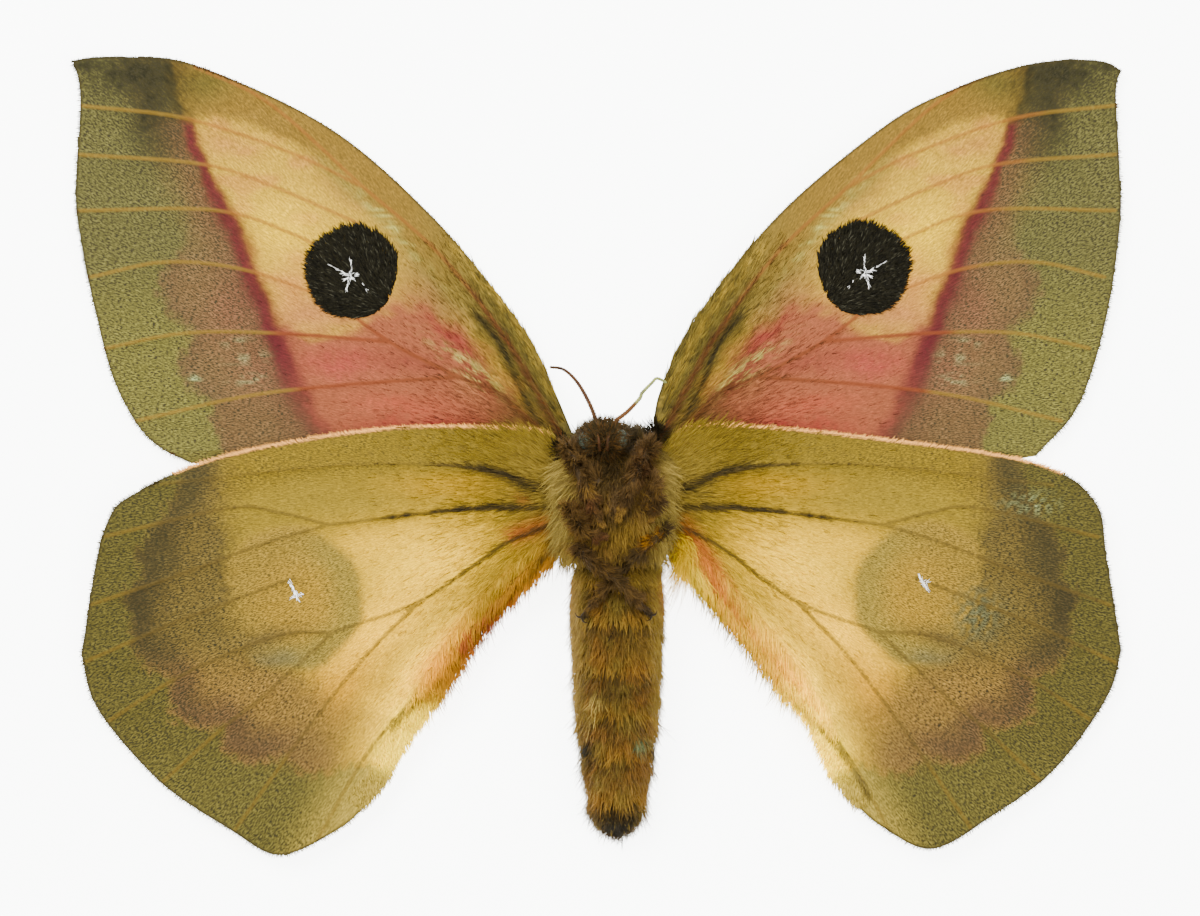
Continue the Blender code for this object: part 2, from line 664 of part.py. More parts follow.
def main():
    for thing in list(bpy.data.objects):
        bpy.data.objects.remove(thing)
    fur = material("brown_fur", (0.23, 0.13, 0.035), 0.9)
    leg_fur = material("leg_fur", (0.13, 0.07, 0.025), 0.9)
    horn = material("red_brown_horn", (0.2, 0.06, 0.02), 0.5)
    eye = material("eye", (0.05, 0.08, 0.09), 0.3)
    sheets = {"forewing": material("forewing", (0.42, 0.28, 0.11), 0.8)}
    sheets["hindwing"] = material("hindwing", (0.45, 0.34, 0.12), 0.8)

    for name in OUTLINES:
        made = wing(name, sheets[name.split("_")[0]])
        if name in FRINGE:
            with_others(made, fringe(name, sheets["hindwing"]), "UNION")
        with_others(made, [thorax_core("room", fur, GAP), *thorax_locks(fur, GAP)], "DIFFERENCE")
        largest_only(made)

    thorax = thorax_core("thorax", fur)
    largest_only(with_others(thorax, thorax_locks(fur), "UNION"))
    abdomen = abdomen_core("abdomen", fur)
    with_others(abdomen, abdomen_locks(fur), "UNION")
    with_others(abdomen, [thorax_core("room", fur, GAP), *thorax_locks(fur, GAP)], "DIFFERENCE")
    largest_only(abdomen)

    head = object_from("head", ball(HEAD_MIDDLE, HEAD_RADII), fur)
    sockets = [thorax_core("room", fur, GAP), *thorax_locks(fur, GAP)]
    for side, out in OUT.items():
        place = HEAD_MIDDLE + Vector((EYE_FROM_HEAD.x * out, EYE_FROM_HEAD.y, EYE_FROM_HEAD.z))
        object_from("eye_" + side, ball(place, [EYE_RADIUS] * 3, 14, 8), eye)
        sockets.append(object_from("socket_" + side, ball(place, [EYE_RADIUS + GAP] * 3, 14, 8), fur))
    largest_only(with_others(head, sockets, "DIFFERENCE"))

    antennae = {
        "right": [(-1.9, 9.1, 8.2), (-2.8, 11.2, 8.2), (-4.1, 13.4, 7.0), (-5.6, 14.8, 5.6),
                  (-7.2, 15.1, 4.9)],
        "left": [(0.3, 9.0, 8.2), (1.6, 10.0, 8.2), (3.1, 11.6, 7.2), (4.6, 13.3, 5.7), (5.9, 13.4, 4.9)],
    }
    for side, points in antennae.items():
        path = smooth_curve(points, 1.4)
        radii = [smooth_value(ANTENNA_RADII, i / (len(path) - 1)) for i in range(len(path))]
        object_from("antenna_" + side, tube(path, radii, 6), horn)
    for side, out in OUT.items():
        root = HEAD_MIDDLE + Vector((0.62 * out, -1.2, 2.35))
        path = [root, root + Vector((0.0, 1.0, 0.6)), root + Vector((0.05 * out, 2.1, 0.25))]
        object_from("palp_" + side, tube(path, (PALP_RADII[0], PALP_RADII[0], PALP_RADII[1])), horn)
    earlier = []
    for name in LEGS:
        shapes = leg_shapes(name, leg_fur)
        made = with_others(shapes[0], shapes[1:], "UNION")
        room = [thorax_core("room", fur, GAP), *thorax_locks(fur, GAP), *abdomen_locks(fur, GAP)]
        for other in earlier:
            room += leg_shapes(other, leg_fur, GAP)
        with_others(made, room, "DIFFERENCE")
        largest_only(made)
        earlier.append(name)

    for thing in bpy.context.scene.objects:
        thing.data.shade_smooth()
        thing.data.set_sharp_from_angle(angle=math.radians(SHARP_ANGLE))


main()
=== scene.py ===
import math

import bpy
import numpy as np
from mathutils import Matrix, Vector, noise


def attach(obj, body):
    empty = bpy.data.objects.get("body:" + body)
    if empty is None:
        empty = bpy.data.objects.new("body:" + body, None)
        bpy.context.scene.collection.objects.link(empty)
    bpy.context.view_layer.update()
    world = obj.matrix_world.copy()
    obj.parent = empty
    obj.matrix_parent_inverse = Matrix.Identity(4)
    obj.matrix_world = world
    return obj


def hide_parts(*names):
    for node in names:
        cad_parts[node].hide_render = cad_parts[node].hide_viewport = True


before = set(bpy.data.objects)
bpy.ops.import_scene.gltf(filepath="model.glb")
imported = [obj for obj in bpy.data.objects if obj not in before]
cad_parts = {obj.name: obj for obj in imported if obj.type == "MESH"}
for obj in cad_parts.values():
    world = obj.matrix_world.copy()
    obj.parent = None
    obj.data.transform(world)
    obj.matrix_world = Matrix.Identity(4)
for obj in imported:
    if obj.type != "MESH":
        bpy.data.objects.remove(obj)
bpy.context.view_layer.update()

# The wings
# Each wing is a dry, stiff membrane held out by branching veins and covered on both faces with flat coloured
# scales. The hindwings lie over the rear edges of the forewings, as the wings were set.
MM = 0.001
WING_CELL = 0.34
WING_SKIN = 0.14
WING_TOP = 0.2
ROOT_HEIGHT = 3.3
TIP_HEIGHT = 1.35
HIND_ABOVE_FORE = 1.2
RIPPLE = 0.22
VEIN_BREADTH = 0.45
VEIN_RISE = 0.2
ROOT_OUT = 3.6
OUT = {"right": -1.0, "left": 1.0}

# Rims as distance out from the midline and distance forward, in millimetres, once round from the root. Each
# stretch is one smooth curve: the front edge, the tip of a forewing, the outer edge, and the rear edge.
RIMS = {
    "forewing_right": [
        [(4.6, 7.6), (6.4, 11.9), (8.6, 16.8), (12.1, 22.1), (20.7, 32.4), (32.5, 42.5), (47.7, 49.6),
         (56.1, 50.6)],
        [(56.1, 50.6), (59.4, 50.5), (61.8, 50.1)],
        [(61.8, 50.1), (61.0, 48.0), (60.8, 44.4), (61.3, 35.0), (60.6, 29.0), (58.8, 20.5), (56.9, 13.6),
         (54.2, 8.5), (51.5, 5.9), (48.1, 4.2)],
        [(48.1, 4.2), (34.0, 3.0), (20.0, 2.6), (8.6, 2.9), (4.6, 3.3)],
    ],
    "forewing_left": [
        [(4.6, 7.6), (5.3, 12.3), (9.3, 20.5), (18.8, 32.4), (30.8, 42.5), (38.3, 46.6), (46.3, 49.4),
         (52.0, 50.3)],
        [(52.0, 50.3), (56.0, 50.0), (58.0, 49.0)],
        [(58.0, 49.0), (57.5, 47.6), (57.4, 45.2), (57.8, 37.5), (57.8, 31.3), (56.2, 20.5), (53.1, 10.8),
         (48.2, 5.0)],
        [(48.2, 5.0), (34.0, 3.0), (20.0, 2.6), (8.6, 2.9), (4.6, 3.3)],
    ],
    "hindwing_right": [
        [(4.6, 5.0), (7.6, 7.5), (12.9, 8.2), (26.5, 8.0), (43.6, 5.1), (53.8, 1.1),
         (57.9, -3.4), (60.6, -17.6)],
        [(60.6, -17.6), (58.7, -23.9), (51.6, -32.1), (43.6, -37.5), (37.9, -40.4), (31.3, -37.5),
         (28.2, -34.9)],
        [(28.2, -34.9), (25.8, -32.0), (24.4, -29.4), (22.4, -26.0), (20.2, -22.6), (15.0, -14.6),
         (10.6, -9.8), (8.0, -7.4), (4.6, -5.4)],
    ],
    "hindwing_left": [
        [(4.6, 5.0), (7.4, 7.7), (12.0, 8.5), (27.0, 7.3), (47.4, 4.3), (54.7, 0.0),
         (56.2, -6.8), (57.9, -17.1)],
        [(57.9, -17.1), (56.3, -22.5), (50.3, -30.7), (42.8, -36.2), (36.3, -39.7), (30.8, -37.3),
         (27.6, -34.7)],
        [(27.6, -34.7), (25.2, -31.8), (23.8, -29.0), (22.4, -25.2), (19.6, -21.2), (15.0, -15.0),
         (11.0, -10.3), (8.4, -7.6), (4.6, -5.4)],
    ],
}

# Main veins of a right wing, each from its root or fork out to the edge. A left wing has them less far out.
REACH = {"forewing_right": 1.0, "forewing_left": 0.94, "hindwing_right": 1.0, "hindwing_left": 0.95}
VEINS = {
    "forewing": [
        [(5.4, 6.6), (11.7, 17.6), (19.7, 27.9), (28.4, 35.6), (39.2, 45.2), (47.7, 49.4)],
        [(28.4, 35.6), (37.1, 39.7), (48.8, 43.5), (60.9, 45.0)],
        [(29.0, 31.5), (39.2, 35.9), (47.1, 38.3), (61.0, 39.4)],
        [(30.3, 27.0), (36.5, 30.3), (45.4, 33.0), (60.9, 33.0)],
        [(31.8, 22.7), (41.9, 26.2), (51.0, 27.1), (59.6, 25.4)],
        [(25.4, 18.0), (38.4, 19.0), (48.8, 19.0), (57.8, 17.3)],
        [(17.5, 14.0), (30.6, 13.1), (41.9, 11.8), (54.4, 9.0)],
        [(5.8, 5.7), (8.8, 8.5), (13.2, 12.3), (17.5, 14.0), (25.4, 18.0), (31.8, 22.7)],
        [(6.2, 4.4), (20.0, 5.6), (36.0, 6.0), (50.6, 5.4)],
    ],
    "hindwing": [
        [(6.3, 1.0), (12.3, 2.9), (19.7, 4.0), (32.2, 3.9), (52.6, 1.7)],
        [(6.3, -0.6), (17.5, -1.1), (32.3, -2.8)],
        [(32.3, -2.8), (38.0, -1.4), (43.6, -0.9), (58.1, -4.2)],
        [(32.3, -2.8), (39.2, -4.8), (48.8, -8.3), (59.7, -12.0)],
        [(36.2, -8.8), (45.4, -12.2), (51.0, -14.4), (60.5, -18.6)],
        [(31.8, -15.0), (38.4, -15.5), (48.8, -19.8), (57.8, -25.4)],
        [(31.8, -15.0), (39.7, -22.2), (44.5, -26.0), (51.4, -32.2)],
        [(21.8, -11.4), (28.0, -17.6), (34.9, -26.2), (43.2, -37.8)],
        [(6.3, -2.2), (12.3, -5.0), (21.8, -11.4), (31.8, -15.0)],
        [(6.3, -4.2), (12.3, -10.6), (21.8, -21.6), (28.0, -28.9), (33.6, -38.6)],
    ],
}

# Lines that bound the markings: the golden strips along the front edges, the dark line across each wing, and
# the scalloped outer edge of the purple-brown clouds.
GOLD_STRIP = [
    (5.2, 5.8), (10.1, 12.5), (13.9, 17.6), (17.6, 22.3), (21.4, 26.5), (25.2, 31.4), (28.9, 35.4),
    (31.6, 38.0), (36.5, 40.3), (41.8, 42.5), (48.0, 43.6), (54.0, 45.0),
]
FORE_LINE = [
    (50.8, 51.4), (49.9, 46.3), (48.5, 43.4), (47.4, 39.8), (46.1, 36.8), (44.6, 33.6), (42.9, 30.4),
    (41.6, 26.8), (40.4, 23.6), (39.1, 20.2), (37.8, 16.9), (36.5, 13.8), (35.2, 11.0), (31.6, 4.0),
]
FORE_CLOUD = [
    (50.0, 46.0), (49.6, 41.0), (48.2, 36.0), (48.6, 32.0), (49.6, 28.5), (51.2, 25.5), (51.0, 21.6),
    (47.8, 18.8), (49.4, 16.0), (48.4, 13.0), (45.4, 11.2), (45.6, 8.0), (42.6, 3.6),
]
HIND_STRIP = [(5.0, 1.4), (12.3, 3.2), (22.0, 3.6), (34.0, 2.6), (46.0, -0.4)]
HIND_LINE = [
    (46.0, 5.5), (45.6, 0.0), (45.0, -4.5), (44.6, -9.0), (43.6, -13.0), (40.8, -17.0), (37.0, -20.5),
    (32.0, -23.2), (27.0, -24.6),
]
HIND_CLOUD = [
    (48.8, 6.0), (48.8, 2.6), (51.8, -2.4), (54.2, -5.4), (53.7, -9.0), (55.7, -11.6), (54.9, -15.0),
    (54.4, -17.3), (52.8, -19.2), (50.4, -20.3), (50.8, -23.0), (49.5, -25.0), (46.7, -25.9),
    (44.5, -25.9), (44.2, -27.8), (42.6, -29.6), (40.4, -30.0), (37.0, -29.2), (35.6, -30.8),
    (32.8, -31.2), (30.0, -30.2), (27.0, -30.0),
]

# How the view turns light into shown colour, so that a colour can be given as it shows.
LIGHT_LEVEL = 3.5
BRIGHTEST = 0.86
TONE_CURVE = 2.1419
TONE_SPREAD = ((0.5143, 0.1665, 0.2754), (0.1257, 0.4956, 0.3292), (0.091, 0.1696, 0.59))
TONE_POWER, TONE_TOP, TONE_FALL = 0.6941, 1.0206, 1.7508
TONE_MIX = ((1.0025, -0.2895, -0.3132), (-0.1747, 1.3005, -0.7748), (-0.0892, -0.3093, 0.9407))


def linear(colour):
    """The surface colour that shows as the given one, up to 255, under this scene's lights. A colour that is
    too bright for them is dimmed a little at a time, so that its hue stays."""
    for dim in np.arange(1.0, 0.7, -0.02):
        share = (np.asarray(colour, float) * dim / 255.0) ** TONE_CURVE
        spread = np.maximum(np.array(TONE_SPREAD) @ share, 0.0001)
        glow = np.array(TONE_MIX) @ (spread**TONE_POWER / (TONE_TOP - spread) ** TONE_FALL) / LIGHT_LEVEL
        if glow.max() < BRIGHTEST:
            break
    return np.clip(glow, 0.001, BRIGHTEST)


def curve(points, step):
    """Points about a step apart along a smooth curve through the given ones."""
    points = np.asarray(points, float)
    full = np.vstack([2 * points[0] - points[1], points, 2 * points[-1] - points[-2]])
    rows = [points[:1]]
    for a, b, c, d in zip(full, full[1:], full[2:], full[3:]):
        t = (np.arange(max(1, round(float(np.linalg.norm(c - b)) / step))) + 1.0)[:, None]
        t /= len(t)
        cubic = (3 * b - a - 3 * c + d) * t**3 + (2 * a - 5 * b + 4 * c - d) * t**2
        rows.append((cubic + (c - a) * t + 2 * b) / 2)
    return np.vstack(rows)


def near(points, line):
    """Nearest places on a line of points: distance, 1 on the line's left side and -1 on its right, the place
    itself and how far along it is."""
    best = np.full(len(points), 1e9)
    side = np.ones(len(points))
    foot = np.zeros((len(points), 2))
    run = np.zeros(len(points))
    length = 0.0
    for start, way in zip(line, np.diff(line, axis=0)):
        off = points - start
        share = np.clip(off @ way / max(way @ way, 1e-12), 0.0, 1.0)
        gap = off - share[:, None] * way
        distance = np.hypot(gap[:, 0], gap[:, 1])
        closer = distance < best
        best[closer] = distance[closer]
        side[closer] = np.where(way[0] * off[closer, 1] - way[1] * off[closer, 0] < 0.0, -1.0, 1.0)
        foot[closer] = points[closer] - gap[closer]
        run[closer] = length + share[closer] * np.linalg.norm(way)
        length += np.linalg.norm(way)
    return best, side, foot, run


def within(points, ring):
    """Whether each point lies within a closed ring."""
    found = np.zeros(len(points), bool)
    for a, b in zip(ring, np.roll(ring, -1, axis=0)):
        crosses = (a[1] > points[:, 1]) != (b[1] > points[:, 1])
        if a[1] != b[1]:
            found ^= crosses & (points[:, 0] < a[0] + (b[0] - a[0]) * (points[:, 1] - a[1]) / (b[1] - a[1]))
    return found


def rise(value, low, high):
    """Climbs smoothly from 0 at low to 1 at high."""
    share = np.clip((value - low) / (high - low), 0.0, 1.0)
    return share * share * (3.0 - 2.0 * share)


def band(gap, breadth):
    """Weight of a soft band, 1 on its middle line, fading over its breadth."""
    return np.exp(-((gap / breadth) ** 2))


def past_line(points, line, step=1.5):
    """How far points lie to the left of a smooth line, less than 0 on its right."""
    distance, side, _, _ = near(points, curve(line, step))
    return distance * side


def grain(points, size, seed=0.0):
    """Smooth noise about -1 to 1 at points, which varies over a size in millimetres."""
    return np.array([noise.noise(Vector((x / size, y / size, seed))) for x, y in points[:, :2]]) * 2.0


def vein_lines(name):
    """The middle lines of a wing's veins."""
    return [curve(np.array(points) * [REACH[name], 1.0], 0.8) for points in VEINS[name.split("_")[0]]]


def wing_face(name, points, vein_gap=None):
    """Height of a wing's painted face. It falls from root to tip, sags between the veins and rises over
    them. The hindwing lies over the forewing."""
    if vein_gap is None:
        vein_gap = np.min([near(points, line)[0] for line in vein_lines(name)], axis=0)
    out, forward = points[:, 0], points[:, 1]
    share = np.minimum(1.0, out / 60.0)
    level = ROOT_HEIGHT + (TIP_HEIGHT - ROOT_HEIGHT) * share**1.6
    level = level + RIPPLE * np.sin(forward / 5.5 + out / 19.0) * share + WING_TOP
    ridge = 1.0 - rise(vein_gap, 0.0, VEIN_BREADTH)
    if name.startswith("hindwing"):
        level = level + HIND_ABOVE_FORE * (1.0 - 0.75 * rise(2.0 - forward, 0.0, 36.0))
    else:
        ridge = ridge * rise(np.hypot(*(points - FORE_PLACES[name.split("_")[1]]).T), 4.4, 5.4)
    sag = 0.14 * rise(vein_gap, 0.3, 3.0) - 0.07 * grain(points * [0.3, 1.0], 1.6, 20.0)
    return np.maximum(level + VEIN_RISE * ridge - sag, 0.3)


def blot(points, middle, size, turn=0.0):
    """Weight of a soft blot of colour, 1 at its middle, falling away over its size."""
    angle = math.radians(turn)
    off = points[:, :2] - np.asarray(middle)
    along = off[:, 0] * math.cos(angle) + off[:, 1] * math.sin(angle)
    across = off[:, 1] * math.cos(angle) - off[:, 0] * math.sin(angle)
    return np.exp(-((along / size[0]) ** 2 + (across / size[1]) ** 2))


class Paint:
    """Colours at points on a surface, over one ground colour."""

    def __init__(self, ground, count):
        self.colours = np.tile(linear(ground), (count, 1))

    def lay(self, weight, colour):
        """Lays one colour over the others by weight."""
        weight = np.clip(weight, 0.0, 1.0)[:, None]
        self.colours = self.colours * (1.0 - weight) + linear(colour) * weight


FORE_BLOTS = [
    ((206, 158, 106), 0.7, (44.0, 40.6), (3.4, 1.6), 10.0),
    ((196, 160, 90), 0.8, (31.0, 35.6), (4.0, 1.6), 35.0),
    ((228, 204, 122), 0.8, (37.6, 30.6), (4.4, 3.4), 20.0),
    ((214, 168, 116), 0.9, (36.4, 24.0), (2.6, 3.4), 20.0),
    ((168, 140, 78), 1.0, (19.0, 24.6), (9.5, 4.4), 50.0),
    ((196, 140, 92), 0.8, (27.0, 20.4), (7.0, 2.4), 22.0),
    ((182, 128, 84), 0.8, (21.0, 21.6), (4.4, 2.4), 46.0),
    ((204, 148, 110), 0.75, (34.6, 21.0), (5.6, 1.7), -8.0),
]
FORE_CORAL = [
    (40.4, 20.4), (36.4, 19.4), (31.0, 19.0), (27.6, 20.4), (24.4, 22.4), (20.0, 20.6), (15.6, 17.0),
    (11.4, 11.6), (8.0, 6.4),
]
CORAL_BLOTS = [
    ((196, 104, 86), 0.8, (31.0, 15.6), (4.6, 1.8), -2.0),
    ((178, 96, 70), 0.7, (23.0, 15.6), (5.0, 1.2), 12.0),
    ((204, 116, 88), 0.7, (24.0, 10.8), (5.6, 1.3), 4.0),
    ((188, 78, 58), 0.85, (20.0, 8.0), (9.0, 1.3), 2.0),
    ((184, 84, 66), 0.85, (18.4, 18.6), (4.0, 0.8), 46.0),
    ((200, 142, 106), 0.8, (16.4, 12.8), (2.2, 1.2), 40.0),
    ((166, 118, 66), 0.9, (10.4, 8.6), (3.0, 3.2), 45.0),
]
LOW_SCUFFS = [((42.6, 18.0), (1.5, 0.4)), ((40.8, 16.2), (2.4, 0.7)), ((41.0, 13.8), (2.0, 0.6)),
              ((47.6, 13.8), (0.7, 0.4))]
TIP_BLOTS = [
    ((54.8, 48.6), (4.8, 2.8), -14.0, 1.0),
    ((53.2, 43.8), (2.0, 4.2), 12.0, 0.85),
    ((60.6, 50.0), (2.6, 1.4), 0.0, 0.9),
    ((50.2, 47.6), (2.4, 3.4), 0.0, 0.6),
    ((51.8, 40.0), (1.8, 2.4), 0.0, 0.4),
]
HIND_BLOTS = [
    ((232, 204, 64), 0.95, (25.0, -5.0), (10.0, 3.0), -8.0),
    ((244, 222, 44), 1.0, (20.5, -7.4), (8.4, 3.4), -20.0),
    ((206, 170, 74), 0.8, (18.0, 1.6), (8.0, 1.8), 2.0),
    ((250, 224, 62), 1.0, (27.0, -15.0), (8.0, 3.6), -34.0),
    ((255, 232, 84), 1.0, (22.0, -18.8), (7.6, 2.2), -50.0),
    ((248, 200, 124), 0.7, (20.0, -18.0), (5.4, 1.2), -50.0),
    ((250, 228, 104), 1.0, (24.8, -26.4), (5.8, 3.4), -55.0),
    ((255, 246, 138), 0.95, (23.4, -27.6), (4.4, 1.8), -58.0),
    ((228, 188, 82), 0.8, (31.4, -21.6), (5.4, 3.2), -40.0),
]
HIND_LOBES = [
    ((104, 88, 40), 0.8, (48.2, 1.4), (2.0, 3.2), 20.0),
    ((86, 72, 34), 1.0, (51.6, -6.2), (3.4, 3.6), 10.0),
    ((70, 58, 30), 1.0, (54.2, -12.0), (3.4, 3.0), 20.0),
    ((96, 78, 38), 1.0, (52.4, -17.0), (3.6, 2.6), 30.0),
    ((106, 80, 46), 1.0, (48.6, -22.8), (3.8, 3.2), 30.0),
    ((118, 88, 52), 1.0, (41.6, -27.0), (4.4, 3.0), 20.0),
    ((160, 124, 72), 0.6, (34.0, -28.8), (3.6, 2.2), 10.0),
]
FORE_PLACES = {"right": (29.9, 25.5), "left": (28.7, 25.85)}
FORE_SPOT = 5.3
HIND_PLACES = {"right": (36.6, -11.3), "left": (35.5, -10.7)}
HIND_SPOT = 8.3
HEM_SPOTS = [((14.0, -13.0), (1.5, 1.0)), ((16.6, -15.0), (1.2, 0.9)), ((11.6, -10.6), (1.0, 0.5))]
PINK_STREAKS = {
    "right": [(7.0, -2.2), (10.5, -3.6)],
    "left": [(7.4, -2.0), (11.0, -6.4), (14.0, -10.8), (20.0, -18.0)],
}
HIND_DARK = [[(8.4, 1.2), (11.0, 2.6), (13.6, 3.5), (16.4, 3.9)], [(10.0, -0.4), (15.0, -0.8), (20.4, -1.3)],
             [(22.6, -1.6), (25.8, -2.0)]]


def fore_paint(side, points):
    """Colours of a forewing's underside, and how thickly dark scales are sprinkled there."""
    flat = points[:, :2] / [REACH["forewing_" + side], 1.0]
    out, forward = flat.T
    wobble = np.column_stack([grain(flat, 3.0, 1.0), grain(flat, 3.0, 2.0)]) * 0.35
    fine = grain(flat, 0.7, 3.0)
    spots = flat + wobble
    # Cream ground with a pinkish cast
    paint = Paint((211, 182, 108), len(flat))
    paint.lay(0.5 * rise(grain(flat * [0.5, 1.0], 2.2, 4.0), 0.1, 0.9), (212, 160, 112))
    for colour, weight, middle, size, turn in FORE_BLOTS:
        paint.lay(weight * blot(spots, middle, size, turn), colour)
    trunk = past_line(spots, [(33.0, 39.0), (26.7, 32.9), (17.4, 23.4), (10.5, 14.0)])
    paint.lay(0.7 * band(trunk, 1.1), (168, 146, 76))
    # Coral red field behind the cream one
    bound = past_line(spots, FORE_CORAL, 1.0) + grain(flat * [0.4, 1.0], 0.8, 6.0) * 0.5
    coral = rise(bound, -1.3, 1.2)
    paint.lay(coral, (187, 116, 82))
    for colour, weight, middle, size, turn in CORAL_BLOTS:
        paint.lay(weight * blot(spots, middle, size, turn) * (1.0 + 0.3 * fine), colour)
    scuffs = rise(grain(flat @ [[0.45, 0.1], [-0.2, 1.6]], 0.7, 5.0), -0.1, 0.5)
    for middle, size, turn in (((15.8, 14.6), (4.6, 0.9), 35.0), ((24.0, 30.5), (8.0, 0.9), 47.0)):
        paint.lay(0.85 * scuffs * blot(flat, middle, size, turn), (206, 200, 160))
    # Golden strip along the front edge
    strip = rise(past_line(spots, GOLD_STRIP) + fine * 0.2, -0.8, 1.0)
    paint.lay(strip, (172, 136, 60))
    paint.lay(strip * (1.0 - rise(out, 11.0, 26.0)), (156, 134, 64))
    brow = past_line(flat, [(5.4, 9.4), (8.8, 16.4), (12.6, 22.2), (18.0, 28.6)])
    paint.lay(0.75 * band(brow, 0.65) * rise(fine, -0.6, 0.6), (206, 180, 112))
    # Olive outer field
    past = past_line(flat + wobble * 0.8, FORE_LINE)
    outer = rise(past + fine * 0.4, -0.6, 1.6)
    paint.lay(outer, (133, 123, 66))
    paint.lay(outer * 0.7 * (1.0 - rise(forward, 16.0, 30.0)), (158, 147, 78))
    far = rise(past + fine * 0.7, 1.5, 7.0)
    paint.lay(outer * (1.0 - far) * 0.85 * rise(forward, 24.0, 31.0), (150, 122, 68))
    paint.lay(outer * (1.0 - far) * 0.8 * rise(forward, 36.0, 42.0), (100, 88, 42))
    # Purple-brown clouds beside the line
    shore = past_line(spots, FORE_CLOUD, 1.0)
    cloud = outer * rise(fine * 0.5 - shore, -0.7, 1.1)
    low = 1.0 - 0.45 * rise(forward, 26.0, 30.0) - 0.55 * rise(forward, 30.0, 42.0)
    paint.lay(cloud * 0.95 * low, (154, 119, 76))
    lobe = cloud * band(shore, 1.6) * (1.0 - rise(forward, 26.0, 29.0))
    paint.lay(lobe * 0.8, (132, 100, 64))
    paint.lay(cloud * 0.8 * (1.0 - rise(forward, 10.0, 12.0)), (148, 112, 68))
    for middle, size in LOW_SCUFFS:
        paint.lay(0.9 * scuffs * blot(flat, middle, size, -6.0), (182, 186, 160))
    for middle, size in (((43.4, 21.6), (3.2, 4.2)), ((40.0, 14.6), (3.4, 3.4))):
        paint.lay(outer * 0.55 * blot(spots, middle, size, 20.0), (170, 110, 82))
    # Dark red line across the wing
    high = rise(forward, 42.4, 44.6)
    low = 1.0 - rise(forward, 8.0, 18.0)
    shade = band(past - 1.6, 2.0)
    paint.lay(shade * (1.0 - high) * 0.5, (140, 92, 62))
    breadth = 1.35 - 0.55 * rise(forward, 28.0, 39.0)
    dark = np.exp(-(np.abs((past - 0.1 + 0.15 * fine) / breadth) ** 3))
    paint.lay(dark * (1.0 - high) * (0.95 - 0.4 * low), (124, 36, 42))
    paint.lay(blot(spots, (46.4, 47.6), (4.4, 2.4), -20.0) * 0.75, (126, 112, 42))
    paint.lay(dark * 0.7 * high, (76, 66, 30))
    # Blackish wing tip
    for middle, size, turn, weight in TIP_BLOTS:
        paint.lay(weight * blot(spots, middle, size, turn) * (1.0 + fine * 0.3), (50, 46, 24))
    # Dark groove and mottled scales near the root
    groove = past_line(flat, [(6.6, 6.4), (8.5, 9.3), (10.5, 13.3), (12.5, 17.4), (15.4, 21.0)], 1.0)
    paint.lay(band(groove, 0.4) * (0.85 + 0.4 * fine), (60, 48, 22))
    paint.lay(blot(flat, (7.0, 7.0), (2.2, 4.4), -30.0) * 0.6, (112, 92, 44))
    mottle = rise(grain(flat @ [[0.5, 0.5], [-0.9, 0.9]], 0.8, 14.0), -0.1, 0.6) * strip
    paint.lay(mottle * (1.0 - rise(out, 12.0, 18.0)) * 0.5, (86, 72, 36))
    # Black ground under the hair of the eyespot
    away = np.hypot(*(points[:, :2] - FORE_PLACES[side]).T) + fine * 0.3
    paint.lay(1.0 - rise(away, FORE_SPOT - 0.9, FORE_SPOT - 0.3), (36, 32, 18))
    sprinkle = (0.3 + 0.7 * outer) * (1.0 - 0.6 * dark)
    return paint, np.clip(sprinkle, 0.0, 1.0)


